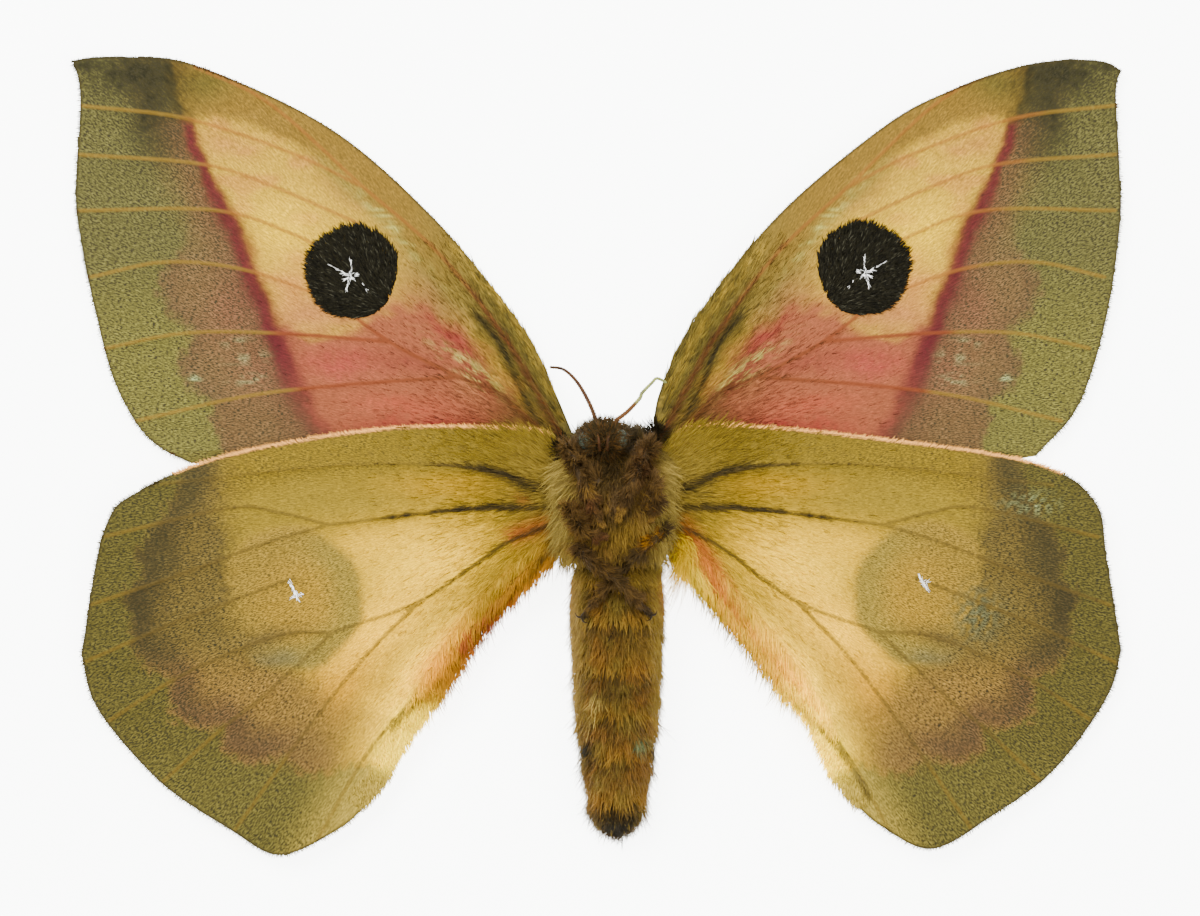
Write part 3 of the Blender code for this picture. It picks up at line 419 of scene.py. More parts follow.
def hind_paint(side, points):
    """Colours of a hindwing's underside, and how thickly dark scales are sprinkled there."""
    flat = points[:, :2] / [REACH["hindwing_" + side], 1.0]
    out, forward = flat.T
    wobble = np.column_stack([grain(flat, 3.0, 7.0), grain(flat, 3.0, 8.0)]) * 0.35
    fine = grain(flat, 0.7, 9.0)
    spots = flat + wobble
    # Yellow and cream inner field, with a golden strip in front
    paint = Paint((180, 152, 64), len(flat))
    for colour, weight, middle, size, turn in HIND_BLOTS:
        paint.lay(weight * blot(spots, middle, size, turn), colour)
    strip = rise(past_line(spots, HIND_STRIP), -1.6, 1.6)
    paint.lay(strip * 0.95, (170, 140, 46))
    # Large pale eyespot with a greyer ring on its inner side, in a golden brown field
    disc_gap = points[:, :2] - HIND_PLACES[side]
    away = np.hypot(*disc_gap.T) + wobble[:, 0] * 0.6 + fine * 0.15
    disc = 1.0 - rise(away, HIND_SPOT - 0.8, HIND_SPOT + 0.5)
    inward = rise(-disc_gap[:, 0] - 0.4 * disc_gap[:, 1], -5.0, 3.0)
    past = past_line(spots, HIND_LINE)
    behind = 1.0 - rise(forward, -22.0, -15.0)
    outer = rise(past + fine * 0.8, -5.0, 2.0) * (1.0 - behind * (1.0 - rise(out, 28.0, 38.0)))
    paint.lay(outer * 0.95, (150, 122, 54))
    paint.lay(outer * behind * 0.85, (184, 148, 78))
    paint.lay(disc * 0.9, (198, 164, 84))
    ring = disc * rise(away, HIND_SPOT - 5.4, HIND_SPOT - 1.8)
    paint.lay(ring * (0.35 + 0.45 * inward), (182, 160, 88))
    paint.lay(disc * (1.0 - inward) * 0.5, (174, 144, 70))
    arc = past_line(spots, [(48.0, 2.4), (46.6, -1.4), (44.9, -6.4), (44.1, -11.4)], 1.0)
    paint.lay(band(arc, 1.0) * 0.6 * (1.0 + fine * 0.5), (106, 88, 42))
    low = blot(spots, (39.4, -15.8), (4.6, 1.3), -14.0) * disc
    paint.lay(low * 0.8, (124, 100, 52))
    paint.lay(blot(spots, (38.6, -18.3), (4.2, 1.1), -6.0) * disc * 0.9, (150, 136, 90))
    # Scalloped brown clouds
    beyond = past_line(spots, HIND_CLOUD, 1.0)
    inside = 1.0 - rise(beyond + fine * 0.6, -0.6, 1.0)
    cloud = rise(past, -2.0, 1.0) * inside
    paint.lay(cloud * 0.7 * (1.0 - behind), (140, 114, 52))
    paint.lay(cloud * 0.35 * behind, (168, 130, 74))
    scallop = inside * band(beyond + 1.2, 2.0) * rise(out, 31.0, 38.0)
    paint.lay(scallop * 0.8 * (1.0 - behind), (92, 74, 36))
    paint.lay(scallop * 0.75 * behind, (130, 92, 58))
    for colour, weight, middle, size, turn in HIND_LOBES:
        lobe = rise(blot(spots, middle, size, turn) + 0.16 * fine, 0.05, 0.95)
        paint.lay(weight * 0.65 * lobe * inside, colour)
    # Olive margin, paler behind
    margin = rise(beyond + fine * 0.5, -0.3, 0.6) * rise(past, -1.0, 1.0)
    paint.lay(margin * 0.98, (122, 107, 42))
    paint.lay(margin * 0.7 * (1.0 - rise(forward, -33.0, -26.0)), (138, 122, 54))
    pale = 1.0 - rise(out + 0.5 * (forward + 34.0) + fine * 0.5, 28.0, 37.0)
    paint.lay(margin * pale * 0.9 * (forward < -26.0), (198, 176, 110))
    paint.lay(blot(spots, (35.2, -28.2), (2.8, 1.8), -35.0) * 0.6, (158, 124, 64))
    # Hem under the fringe: orange and reddish on the right wing, cream on the left
    inner = past_line(flat, [(25.4, -28.9), (20.8, -22.4), (15.0, -14.6), (10.6, -9.8), (6.0, -5.6)], 1.0)
    hem = band(inner, 1.7)
    if side == "right":
        paint.lay(hem * 0.9 * rise(forward, -24.0, -19.0), (208, 152, 68))
        red = 0.5 + 0.5 * fine
        paint.lay(hem**2 * red * blot(flat, (14.6, -13.4), (4.2, 2.4), -45.0), (206, 124, 66))
        for middle, size in HEM_SPOTS:
            spot = 0.75 * rise(blot(flat, middle, size, -50.0) * (1.0 + fine), 0.1, 0.8)
            paint.lay(spot, (204, 108, 68))
        paint.lay(hem * 0.7 * blot(flat, (10.6, -8.0), (4.0, 2.0), -35.0), (220, 168, 84))
    else:
        paint.lay(band(inner, 2.3), (250, 234, 156))
        paint.lay(hem**2 * 0.3 * rise(fine, -0.2, 0.6) * rise(-forward, 13.0, 18.0), (206, 160, 84))
    paint.lay(hem * 0.9 * rise(-forward, 21.0, 25.0), (248, 232, 156))
    # Pink streaks and stains
    streak = near(flat, curve(PINK_STREAKS[side], 1.0))
    blush = band(streak[0], 1.0) * (1.0 - 0.4 * rise(streak[3], 8.0, 20.0))
    paint.lay(blush * 0.8, (218, 122, 80))
    if side == "right":
        paint.lay(blot(flat, (9.4, 0.2), (0.9, 0.5), 30.0), (204, 90, 30))
    else:
        patch = blot(points[:, :2], (41.4, -13.0), (2.6, 2.8), 20.0) * rise(fine + 0.4, 0.0, 0.5)
        paint.lay(patch * 0.8, (112, 124, 96))
        paint.lay(blot(points[:, :2], (47.4, -0.4), (2.6, 1.2)) * rise(fine, -0.2, 0.6), (160, 164, 130))
    # Root, with dark specks and the black inner parts of the veins
    paint.lay(blot(flat, (7.0, 2.4), (5.4, 5.0)) * 0.85, (188, 162, 88))
    specks = rise(grain(flat @ [[0.8, -0.3], [0.6, 2.0]], 0.5, 15.0), 0.1, 0.7)
    paint.lay(specks * blot(flat, (8.4, 0.8), (5.0, 3.0), -10.0) * 0.7, (74, 62, 28))
    for line in HIND_DARK:
        gap = past_line(flat, line, 1.0)
        paint.lay(band(gap, 0.42) * (0.85 + 0.5 * fine), (48, 40, 20))
    sprinkle = 0.35 + 0.65 * np.maximum(outer, np.maximum(strip * 0.6, disc * 0.6)) * (1.0 - 0.6 * pale)
    return paint, np.clip(sprinkle, 0.0, 1.0)


def back_paint(name, points):
    """Colours of a wing's upper face, which lies underneath here: the forewing's is brown, the hindwing's is
    yellow with a large eye."""
    kind, side = name.split("_")
    flat = points[:, :2] / [REACH[name], 1.0]
    fine = grain(flat, 1.1, 11.0)
    spots = flat + np.column_stack([grain(flat, 4.0, 12.0), grain(flat, 4.0, 13.0)]) * 0.4
    if kind == "forewing":
        paint = Paint((150, 118, 80), len(flat))
        past = past_line(spots, FORE_LINE)
        paint.lay(rise(past, -0.2, 0.8) * 0.8, (176, 148, 110))
        paint.lay(band(past, 0.7) * 0.85, (72, 50, 34))
        inner = past_line(spots, [(17.0, 29.0), (16.0, 18.0), (13.0, 4.0)], 2.0)
        paint.lay(band(inner, 0.7) * 0.7, (84, 60, 42))
        paint.lay(blot(flat, FORE_PLACES[side], (2.6, 4.4)) * 0.7, (112, 82, 54))
        paint.lay(0.3 + 0.3 * fine, (120, 92, 62))
        return paint.colours
    paint = Paint((214, 158, 62), len(flat))
    away = np.hypot(*(points[:, :2] - HIND_PLACES[side]).T)
    for radius, colour in ((8.6, (24, 20, 18)), (6.0, (92, 104, 118)), (3.4, (30, 28, 30))):
        paint.lay(1.0 - rise(away + fine * 0.2, radius - 0.3, radius + 0.3), colour)
    paint.lay(blot(points, HIND_PLACES[side], (0.6, 1.6)), (240, 240, 232))
    past = past_line(spots, HIND_LINE) - 1.6
    paint.lay(band(past, 0.9) * 0.95, (40, 26, 18))
    paint.lay(rise(past, 2.6, 4.6) * 0.9, (150, 92, 62))
    paint.lay(blot(flat, (12.0, -8.0), (8.0, 5.0), -45.0) * 0.7, (206, 104, 84))
    return paint.colours


def opaque(colour):
    """A shown colour as a shader takes it."""
    return (*linear(colour), 1.0)


class Wire:
    """A socket of a shader, on which sums are written as plain expressions."""

    def __init__(self, tree, socket=None):
        self.tree = tree
        self.socket = socket

    def node(self, kind, settings=(), inputs=(), output=0):
        """Adds a node: its type, its settings, then values or links for its sockets. Gives one output."""
        made = self.tree.nodes.new(kind)
        for name, value in dict(settings).items():
            if name == "stops":
                for place, (spot, colour) in enumerate(value):
                    stops = made.color_ramp.elements
                    stop = stops[place] if place < len(stops) else stops.new(spot)
                    stop.position = spot
                    stop.color = colour
            else:
                setattr(made, name, value)
        for name, value in dict(inputs).items():
            socket = made.inputs[name]
            if isinstance(value, Wire):
                self.tree.links.new(value.socket, socket)
            else:
                socket.default_value = value
        return Wire(self.tree, made.outputs[output])

    def math(self, operation, first, second=0.0):
        return self.node("ShaderNodeMath", {"operation": operation}, {0: first, 1: second})

    def __add__(self, other):
        return self.math("ADD", self, other)

    __radd__ = __add__

    def __mul__(self, other):
        return self.math("MULTIPLY", self, other)

    __rmul__ = __mul__

    def __sub__(self, other):
        return self.math("SUBTRACT", self, other)

    def __rsub__(self, other):
        return self.math("SUBTRACT", other, self)

    def stored(self, name, output="Color"):
        """What the mesh stores under a name."""
        return self.node("ShaderNodeAttribute", {"attribute_name": name}, output=output)

    def place(self):
        """The place on the object, in metres."""
        return self.node("ShaderNodeTexCoord", output="Object")

    def stretched(self, factors):
        """This place stretched along each axis."""
        return self.node("ShaderNodeVectorMath", {"operation": "MULTIPLY"}, {0: self, 1: factors})

    def ramp(self, low, dark, high, pale):
        """A colour between a dark one, where this is low, and a pale one, where it is high."""
        stops = [(low, opaque(dark)), (high, opaque(pale))]
        return self.node("ShaderNodeValToRGB", {"stops": stops}, {"Fac": self})

    def relief(self, shader, strength, distance, invert=False):
        """Makes this the height of the shader's relief."""
        inputs = {"Height": self, "Strength": strength, "Distance": distance}
        self.node("ShaderNodeBump", {"invert": invert}, inputs).into(shader, "Normal")

    def into(self, shader, name):
        """Feeds one of the shader's sockets."""
        self.tree.links.new(self.socket, shader.inputs[name])

    def step(self, low, high):
        """Climbs smoothly from 0 at low to 1 at high."""
        settings = {"interpolation_type": "SMOOTHSTEP"}
        return self.node("ShaderNodeMapRange", settings, {"Value": self, "From Min": low, "From Max": high})

    def blend(self, weight, other):
        """Mixes this colour with another by weight."""
        inputs = {"Factor": weight, 6: self, 7: other}
        return self.node("ShaderNodeMix", {"data_type": "RGBA"}, inputs, 2)

    def times(self, factor):
        """This colour made darker or lighter by a factor."""
        return self.node("ShaderNodeVectorMath", {"operation": "SCALE"}, {0: self, "Scale": factor})

    def grain(self, scale, detail=3.0, roughness=0.6):
        """Noise from 0 to 1 at this place."""
        inputs = {"Vector": self, "Scale": scale, "Detail": detail, "Roughness": roughness}
        return self.node("ShaderNodeTexNoise", {}, inputs)


def finish_named(name, roughness, specular=0.3):
    """A new material, its shader and a wire to build on."""
    made = bpy.data.materials.new(name)
    made.use_nodes = True
    shader = made.node_tree.nodes["Principled BSDF"]
    shader.inputs["Roughness"].default_value = roughness
    shader.inputs["Specular IOR Level"].default_value = specular
    return made, shader, Wire(made.node_tree)


def fan_of_scales(wire, root):
    """Places on a wing as distance from its root and angle round it, so that streaks run as the veins do."""
    place = wire.place()
    across, along = (wire.node("ShaderNodeSeparateXYZ", {}, {0: place}, axis) for axis in (0, 1))
    out = wire.math("ABSOLUTE", across) * 1000.0 - root[0]
    forward = along * 1000.0 - root[1]
    reach = wire.math("SQRT", out * out + forward * forward)
    turn = wire.math("ARCTAN2", forward, out) * 36.0
    side = wire.math("SIGN", across) * 40.0
    return wire.node("ShaderNodeCombineXYZ", {}, {"X": reach, "Y": turn, "Z": side})


VEIN_EDGE = 0.36


def wing_finish(name, tint, root, dark):
    """Scaly wing: its painted ground, dark scales sprinkled along the veins, and fine streaks in relief."""
    made, shader, wire = finish_named(name, 0.8, 0.06)
    paint = wire.stored(tint)
    thick = wire.stored(tint, "Alpha")
    vein_colour = wire.stored("vein_tint")
    vein_weight = wire.stored("vein_tint", "Alpha")
    vein_gap = wire.stored("vein_gap", "Fac")
    rim_gap = wire.stored("rim_gap", "Fac")
    fan = fan_of_scales(wire, root)
    streaks = fan.stretched((1.0, 5.6, 1.0)).grain(1.0, 2.0, 0.7)
    dots = fan.stretched((2.6, 9.4, 1.0)).grain(1.0, 1.8)
    patches = fan.grain(0.5, 4.0)
    colour = paint.times(0.3 + streaks * 1.4)
    colour = colour.times(0.8 + patches * 0.4)
    scales = dots.step(0.44, 0.64) * thick * (0.3 + patches * 1.4)
    colour = colour.blend(scales, opaque(dark))
    pale = (1.0 - dots.step(0.36, 0.48)) * (0.2 + thick * 0.4)
    colour = colour.blend(pale, colour.times(1.6))
    ragged = vein_gap + (streaks - 0.5) * 0.14
    on_vein = (1.0 - ragged.step(0.05, VEIN_EDGE)) * vein_weight
    colour = colour.blend(on_vein, vein_colour.times(0.8 + streaks * 0.4))
    on_rim = 1.0 - (rim_gap + (streaks - 0.5) * 0.2).step(0.1, 0.36)
    colour = colour.blend(on_rim * 0.8, opaque((88, 74, 34)))
    colour.into(shader, "Base Color")
    (streaks + dots * 0.5).relief(shader, 0.35, 0.00012)
    return made


def store(mesh, name, values):
    """Stores one number, or one colour and a weight, for each vertex of a mesh."""
    kind, key = ("FLOAT_COLOR", "color") if values.ndim == 2 else ("FLOAT", "value")
    stored = mesh.attributes.new(name, kind, "POINT")
    stored.data.foreach_set(key, np.ascontiguousarray(values, np.float32).ravel())


def places_of(mesh):
    """The places of a mesh's vertices, in metres."""
    found = np.empty(len(mesh.vertices) * 3)
    mesh.vertices.foreach_get("co", found)
    return found.reshape(-1, 3)


def move_to(mesh, places):
    """Moves a mesh's vertices to places in millimetres."""
    mesh.vertices.foreach_set("co", (places * MM).ravel())


def wing_sheet(name, finishes):
    """One wing: a fine grid cut to the rim, with raised veins, painted on both faces, and made thick."""
    kind, side = name.split("_")
    stretches = [curve(stretch, 0.3) for stretch in RIMS[name]]
    ring = np.vstack([stretch[:-1] for stretch in stretches] + [[[ROOT_OUT, stretches[-1][-1][1]]]])
    ring = np.vstack([ring, [[ROOT_OUT, stretches[0][0][1]]]])
    closed = np.vstack([ring, ring[:1]])
    low, high = ring.min(axis=0), ring.max(axis=0)
    columns, rows = np.ceil((high - low) / WING_CELL).astype(int)
    bpy.ops.object.select_all(action="DESELECT")
    bpy.ops.mesh.primitive_grid_add(x_subdivisions=int(columns), y_subdivisions=int(rows), size=2.0)
    piece = bpy.context.object
    piece.name = name + "_scales"
    mesh = piece.data
    places = low + (places_of(mesh)[:, :2] + 1.0) / 2.0 * (high - low)
    distance, _, foot, _ = near(places, closed)
    keep = within(places, ring) | (distance < WING_CELL * 0.5)
    edge = keep & (distance < WING_CELL * 0.8)
    places[edge] = foot[edge]
    lines = vein_lines(name)
    for line in lines:
        gap, _, spot, _ = near(places, line)
        on_line = (gap < WING_CELL * 0.5) & ~edge
        places[on_line] = spot[on_line]
    move_to(mesh, np.column_stack([places * [OUT[side], 1.0], np.zeros(len(places))]))
    mesh.vertices.foreach_set("select", ~keep)
    mesh.edges.foreach_set("select", np.zeros(len(mesh.edges), bool))
    mesh.polygons.foreach_set("select", np.zeros(len(mesh.polygons), bool))
    bpy.ops.object.mode_set(mode="EDIT")
    bpy.ops.mesh.delete(type="VERT")
    bpy.ops.mesh.select_all(action="SELECT")
    bpy.ops.mesh.delete_loose()
    bpy.ops.mesh.select_all(action="SELECT")
    bpy.ops.mesh.normals_make_consistent(inside=False)
    bpy.ops.object.mode_set(mode="OBJECT")
    count = len(mesh.vertices)
    places = places_of(mesh)[:, :2] / MM * [OUT[side], 1.0]
    loops = np.empty(len(mesh.loops), int)
    mesh.loops.foreach_get("edge_index", loops)
    ends = np.empty(len(mesh.edges) * 2, int)
    mesh.edges.foreach_get("vertices", ends)
    border = np.unique(ends.reshape(-1, 2)[np.bincount(loops, minlength=len(mesh.edges)) == 1])
    distance, _, foot, _ = near(places[border], closed)
    to_rim = distance < WING_CELL * 1.6
    places[border[to_rim]] = foot[to_rim]
    vein_gap = np.min([near(places, line)[0] for line in lines], axis=0)
    stretch_count = 3 if kind == "forewing" else 2
    rim_line = np.vstack(stretches[:stretch_count])
    rim_gap = near(places, rim_line[::2])[0]
    move_to(mesh, np.column_stack([places * [OUT[side], 1.0], wing_face(name, places, vein_gap)]))
    paint, sprinkle = fore_paint(side, places) if kind == "forewing" else hind_paint(side, places)
    store(mesh, "tint", np.column_stack([paint.colours, sprinkle]))
    store(mesh, "back_tint", np.column_stack([back_paint(name, places), np.full(count, 0.5)]))
    near_root = 1.0 - rise(places[:, 0], 10.0, 30.0)
    veins = Paint((176, 140, 60), count)
    if kind == "forewing":
        outer = rise(past_line(places, FORE_LINE), -1.0, 1.0)
        inner = 1.0 - outer
        low = 1.0 - rise(places[:, 1], 19.0, 25.0)
        veins.lay(inner * 0.85, (188, 122, 58))
        veins.lay(inner * low * 0.9, (164, 78, 42))
        veins.lay(near_root * 0.8, (146, 84, 38))
        weight = 0.62 + 0.05 * outer + 0.25 * inner * low + 0.1 * near_root
        weight[places[:, 1] < 6.4] = 0.0
    else:
        veins.lay(np.full(count, 0.95), (118, 92, 34))
        veins.lay(near_root, (80, 62, 28))
        weight = 0.62 + 0.3 * near_root
        weight[(places[:, 1] > 0.6) & (places[:, 0] > 20.0)] *= 0.5
        black = np.min([near(places, curve(line, 1.0))[0] for line in HIND_DARK], axis=0)
        veins.lay(1.0 - rise(black, 0.8, 2.0), (44, 34, 16))
        veins.lay(rise(past_line(places, HIND_CLOUD, 1.0), -1.0, 1.0) * 0.9, (156, 122, 40))
    store(mesh, "vein_tint", np.column_stack([veins.colours, weight]))
    store(mesh, "vein_gap", vein_gap)
    store(mesh, "rim_gap", rim_gap)
    if np.mean([face.normal.z for face in mesh.polygons]) < 0.0:
        mesh.flip_normals()
    for finish in finishes:
        mesh.materials.append(finish)
    bpy.ops.object.modifier_add(type="SOLIDIFY")
    wall = piece.modifiers[-1]
    wall.thickness = WING_SKIN * MM
    wall.offset = -1.0
    wall.material_offset = 1
    bpy.ops.object.modifier_apply(modifier=wall.name)
    bpy.ops.object.shade_smooth_by_angle(angle=math.radians(50.0))
    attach(piece, "root")
    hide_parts(name)


fore_under = wing_finish("forewing_underside", "tint", (4.0, 5.0), (78, 70, 42))
fore_upper = wing_finish("forewing_upperside", "back_tint", (4.0, 5.0), (60, 44, 30))
hind_under = wing_finish("hindwing_underside", "tint", (4.0, 1.0), (66, 60, 32))
hind_upper = wing_finish("hindwing_upperside", "back_tint", (4.0, 1.0), (90, 52, 24))
for wing in RIMS:
    faces = (fore_under, fore_upper) if wing.startswith("forewing") else (hind_under, hind_upper)
    wing_sheet(wing, faces)

# The body under its fur
# Chest, abdomen and head are one hollow shell of thin brown horn, ringed along the abdomen. No seam shows
# between them under the fur, so they are one skin here.
BODY_POWER = 2.3
BODY_INSET = 0.12
THORAX_HALF_WIDTH = 5.8
THORAX_HALF_DEPTH = 6.1
THORAX_MIDDLE_Y = 0.2
THORAX_HALF_LENGTH = 8.1
THORAX_POWER = 3.5
THORAX_SUNK = 0.8
NECK_SLOPE = 0.42
WAIST = -6.66
ABDOMEN_FRONT = -6.82
ABDOMEN_LENGTH = 30.6
ABDOMEN_SIDE = 0.45
ABDOMEN_HALF_WIDTHS = (4.5, 5.1, 5.1, 4.75, 4.4, 4.0, 3.45, 3.05, 2.9)
ABDOMEN_JOINTS = (-6.8, -10.4, -14.6, -19.8, -24.8, -29.4, -34.6, -38.4)
HEAD_MIDDLE = (-1.1, 6.8, 7.9)
HEAD_RADII = (2.2, 1.7, 2.0)


def segment_share(forward):
    """How far a place is between its ring's front joint, 0, and the next joint back, 1."""
    numbers = range(len(ABDOMEN_JOINTS))
    return np.interp(-np.asarray(forward, float), -np.array(ABDOMEN_JOINTS), numbers) % 1.0


def body_size(forward):
    """Side shift, middle height, half width and half depth of the body at each place along it."""
    forward = np.asarray(forward, float)
    share = np.clip((forward - THORAX_MIDDLE_Y) / THORAX_HALF_LENGTH, -0.95, 0.999)
    swell = (1.0 - np.abs(share) ** THORAX_POWER) ** (1.0 / THORAX_POWER)
    lower = 1.0 - NECK_SLOPE * rise(forward, 1.0, 7.0)
    chest = np.array([
        np.zeros_like(forward),
        THORAX_HALF_DEPTH * lower - THORAX_SUNK * (0.3 + 0.7 * swell),
        THORAX_HALF_WIDTH * swell,
        THORAX_HALF_DEPTH * lower * swell,
    ])
    share = np.clip((ABDOMEN_FRONT - forward) / ABDOMEN_LENGTH, 0.0, 0.9999)
    places = np.linspace(0.0, 1.0, len(ABDOMEN_HALF_WIDTHS))
    fine = np.linspace(0.0, 1.0, 200)
    widths = np.interp(fine, places, ABDOMEN_HALF_WIDTHS)
    widths = np.convolve(np.pad(widths, 8, mode="edge"), np.ones(17) / 17.0, mode="valid")
    half = np.interp(share, fine, widths)
    half = half * (1.0 + 0.05 * (np.sin(segment_share(forward) * math.pi) - 0.6))
    half = half * np.sqrt(1.0 - share**16)
    belly = np.array([np.full_like(half, ABDOMEN_SIDE), half * 0.893, half, half * 0.95])
    mix = rise(forward, WAIST - 0.9, WAIST + 0.7)
    return belly + (chest - belly) * mix


def body_surface(forward, turn, inset=0.0):
    """Points on the body at a place along it and an angle round it."""
    side, middle, half_width, half_depth = body_size(forward)
    half_width = np.maximum(half_width - inset, 0.05)
    half_depth = np.maximum(half_depth - inset, 0.05)
    c, s = np.cos(turn), np.sin(turn)
    x = half_width * np.sign(c) * np.abs(c) ** (2.0 / BODY_POWER)
    z = half_depth * np.sign(s) * np.abs(s) ** (2.0 / BODY_POWER)
    return np.column_stack([side + x, forward, np.maximum(middle + z, 0.06)])


def body_out(forward, turn):
    """The way straight out of the body at places on it."""
    along = body_surface(forward + 0.1, turn) - body_surface(forward - 0.1, turn)
    round_it = body_surface(forward, turn + 0.03) - body_surface(forward, turn - 0.03)
    out = np.cross(along, round_it)
    return out / (np.linalg.norm(out, axis=1)[:, None] + 1e-9)


def torso_top(x, y):
    """Height of the body's upper surface, with its steep sides levelled off."""
    side, middle, half_width, half_depth = body_size(y)
    share = min(0.97, abs(x - side) / half_width)
    return float(middle + half_depth * (1.0 - share**BODY_POWER) ** (1.0 / BODY_POWER))


FUR_RINGS = [
    (-15.6, (146, 108, 36)),
    (-21.4, (106, 76, 24)),
    (-26.2, (144, 100, 36)),
    (-31.2, (152, 112, 46)),
]
CHEST_BLOTS = [
    ((116, 62, 26), (-3.1, -0.3), (1.2, 1.0)),
    ((140, 108, 70), (0.2, 0.9), (0.6, 1.1)),
    ((126, 70, 30), (-1.8, -4.3), (1.1, 0.6)),
    ((60, 44, 18), (-0.3, 3.8), (1.4, 1.3)),
    ((98, 58, 22), (3.4, 3.6), (0.9, 1.6)),
    ((170, 134, 52), (1.6, -2.2), (1.0, 0.7)),
]


def fur_paint(points):
    """Colours of the body's fur: dark between the legs, golden at the sides, ringed brown on the abdomen."""
    flat = points[:, :2]
    out, forward = flat.T
    patch = grain(flat + points[:, 2:] * 0.7, 1.9, 31.0)
    fine = grain(flat + points[:, 2:] * 0.5, 0.45, 32.0)
    paint = Paint((124, 92, 28), len(flat))
    for place, colour in FUR_RINGS:
        paint.lay(0.7 * band(forward - place, 2.3), colour)
    share = segment_share(forward - 1.3)
    paint.lay(0.45 * (1.0 - rise(share, 0.0, 0.4)), (88, 62, 16))
    paint.lay(0.5 * rise(share + fine * 0.1, 0.5, 0.95), (184, 142, 60))
    paint.lay(0.4 * rise(patch, 0.1, 0.8), (166, 110, 38))
    paint.lay(0.6 * rise(-patch, 0.1, 0.8), (150, 124, 52))
    side = out - ABDOMEN_SIDE
    rear = forward < WAIST
    paint.lay(rise(np.abs(side), 2.6, 4.4) * rear * 0.85, (170, 140, 66))
    paint.lay((1.0 - rise(side, -4.4, -3.4)) * rear * 0.8, (176, 146, 88))
    paint.lay(rise(np.abs(side), 4.0, 4.8) * blot(flat, (5.0, -9.5), (9.0, 2.4)) * 0.45, (190, 118, 88))
    chest = rise(forward, WAIST - 2.5, WAIST + 1.5)
    middle = 1.0 - rise(np.abs(out) + fine * 0.3, 2.4, 5.0)
    paint.lay(chest, (176, 152, 88))
    paint.lay(chest * middle * 0.95, (104, 74, 26))
    paint.lay(chest * middle * 0.75 * rise(patch, 0.0, 0.7), (152, 114, 50))
    paint.lay(chest * middle * 0.5 * rise(-patch, 0.2, 0.8), (68, 46, 16))
    for colour, place, size in CHEST_BLOTS:
        paint.lay(0.8 * blot(flat, place, size), colour)
    golden = blot(flat, (1.2, -3.4), (2.6, 1.6)) + blot(flat, (-3.6, -4.4), (2.0, 1.4))
    golden = golden + blot(flat, (1.4, -7.4), (2.6, 1.4))
    paint.lay(golden * 0.75, (160, 124, 44))
    front = rise(forward, 5.0, 6.6)
    paint.lay(front * 0.9, (70, 54, 24))
    tail = rise(-forward + 0.3 * fine, 33.4, 34.2) * (1.0 - rise(np.abs(out - 0.6), 1.2, 2.2))
    paint.lay(tail * 0.95, (30, 24, 8))
    for place in ((-2.6, -27.2), (4.3, -27.6)):
        paint.lay(1.4 * blot(flat, place, (0.6, 0.9)), (34, 30, 16))
    paint.lay(1.3 * blot(flat, (0.3, -14.2), (0.6, 0.5)), (46, 34, 10))
    paint.lay(blot(flat, (2.8, -26.8), (0.5, 0.5)), (112, 144, 110))
    paint.lay(blot(flat, (-1.9, -22.4), (1.4, 0.35), 80.0) * rise(fine, -0.5, 0.4), (214, 196, 160))
    under = rise(-points[:, 2], -2.4, -0.8)
    paint.lay(under * 0.6, (176, 132, 62))
    return paint.colours * (1.0 + 0.2 * fine)[:, None]


def horn_finish():
    """Thin brown horn between the hairs, finely pitted, painted as a darker copy of the fur over it, as
    painted shade under the fur.
    """
    made, shader, wire = finish_named("body_horn", 0.7, 0.06)
    paint = wire.stored("tint")
    place = wire.place()
    pits = place.grain(2600.0, 3.0)
    patches = place.grain(420.0, 4.0)
    # Painted shade: the fur's colours at about half their brightness, for the skin seen in the gaps under
    # the fur.
    colour = paint.times(0.3 + pits * 0.25 + patches * 0.15)
    colour.into(shader, "Base Color")
    (pits + patches).relief(shader, 0.5, 0.0001)
    return made


def close_shell(gap):
    """Joins a rolled grid along its seam, closes its ends and turns its faces outwards."""
    bpy.ops.object.mode_set(mode="EDIT")
    bpy.ops.mesh.select_all(action="SELECT")
    bpy.ops.mesh.remove_doubles(threshold=gap)
    bpy.ops.mesh.select_all(action="DESELECT")
    bpy.ops.mesh.select_non_manifold()
    bpy.ops.mesh.edge_face_add()
    bpy.ops.mesh.select_all(action="SELECT")
    bpy.ops.mesh.normals_make_consistent(inside=False)
    bpy.ops.object.mode_set(mode="OBJECT")


BODY_STATIONS = 150
BODY_AROUND = 64
SKIN_FRONT = 8.28
SKIN_REAR = -37.38
SKIN_CELL = 0.32
bpy.ops.object.select_all(action="DESELECT")
bpy.ops.mesh.primitive_grid_add(x_subdivisions=BODY_AROUND, y_subdivisions=BODY_STATIONS, size=2.0)
skin = bpy.context.object
skin.name = "body_skin"
unit = places_of(skin.data)
turn = unit[:, 0] * math.pi
share = (unit[:, 1] + 1.0) / 2.0
along = SKIN_FRONT + (SKIN_REAR - SKIN_FRONT) * (share - 0.012 * np.sin(share * 2.0 * math.pi))
move_to(skin.data, body_surface(along, turn, BODY_INSET))
close_shell(0.00002)
bpy.ops.object.select_all(action="DESELECT")
bpy.ops.mesh.primitive_uv_sphere_add(segments=32, ring_count=20, radius=1.0)
skull = bpy.context.object
move_to(skull.data, places_of(skull.data) * HEAD_RADII + HEAD_MIDDLE)
skin.select_set(True)
bpy.context.view_layer.objects.active = skin
bpy.ops.object.join()
skin.data.remesh_voxel_size = SKIN_CELL * MM
bpy.ops.object.voxel_remesh()
bpy.ops.object.modifier_add(type="SMOOTH")
skin.modifiers[-1].factor = 0.5
skin.modifiers[-1].iterations = 3
bpy.ops.object.modifier_apply(modifier=skin.modifiers[-1].name)
bpy.ops.object.shade_smooth()
colours = fur_paint(places_of(skin.data) / MM)
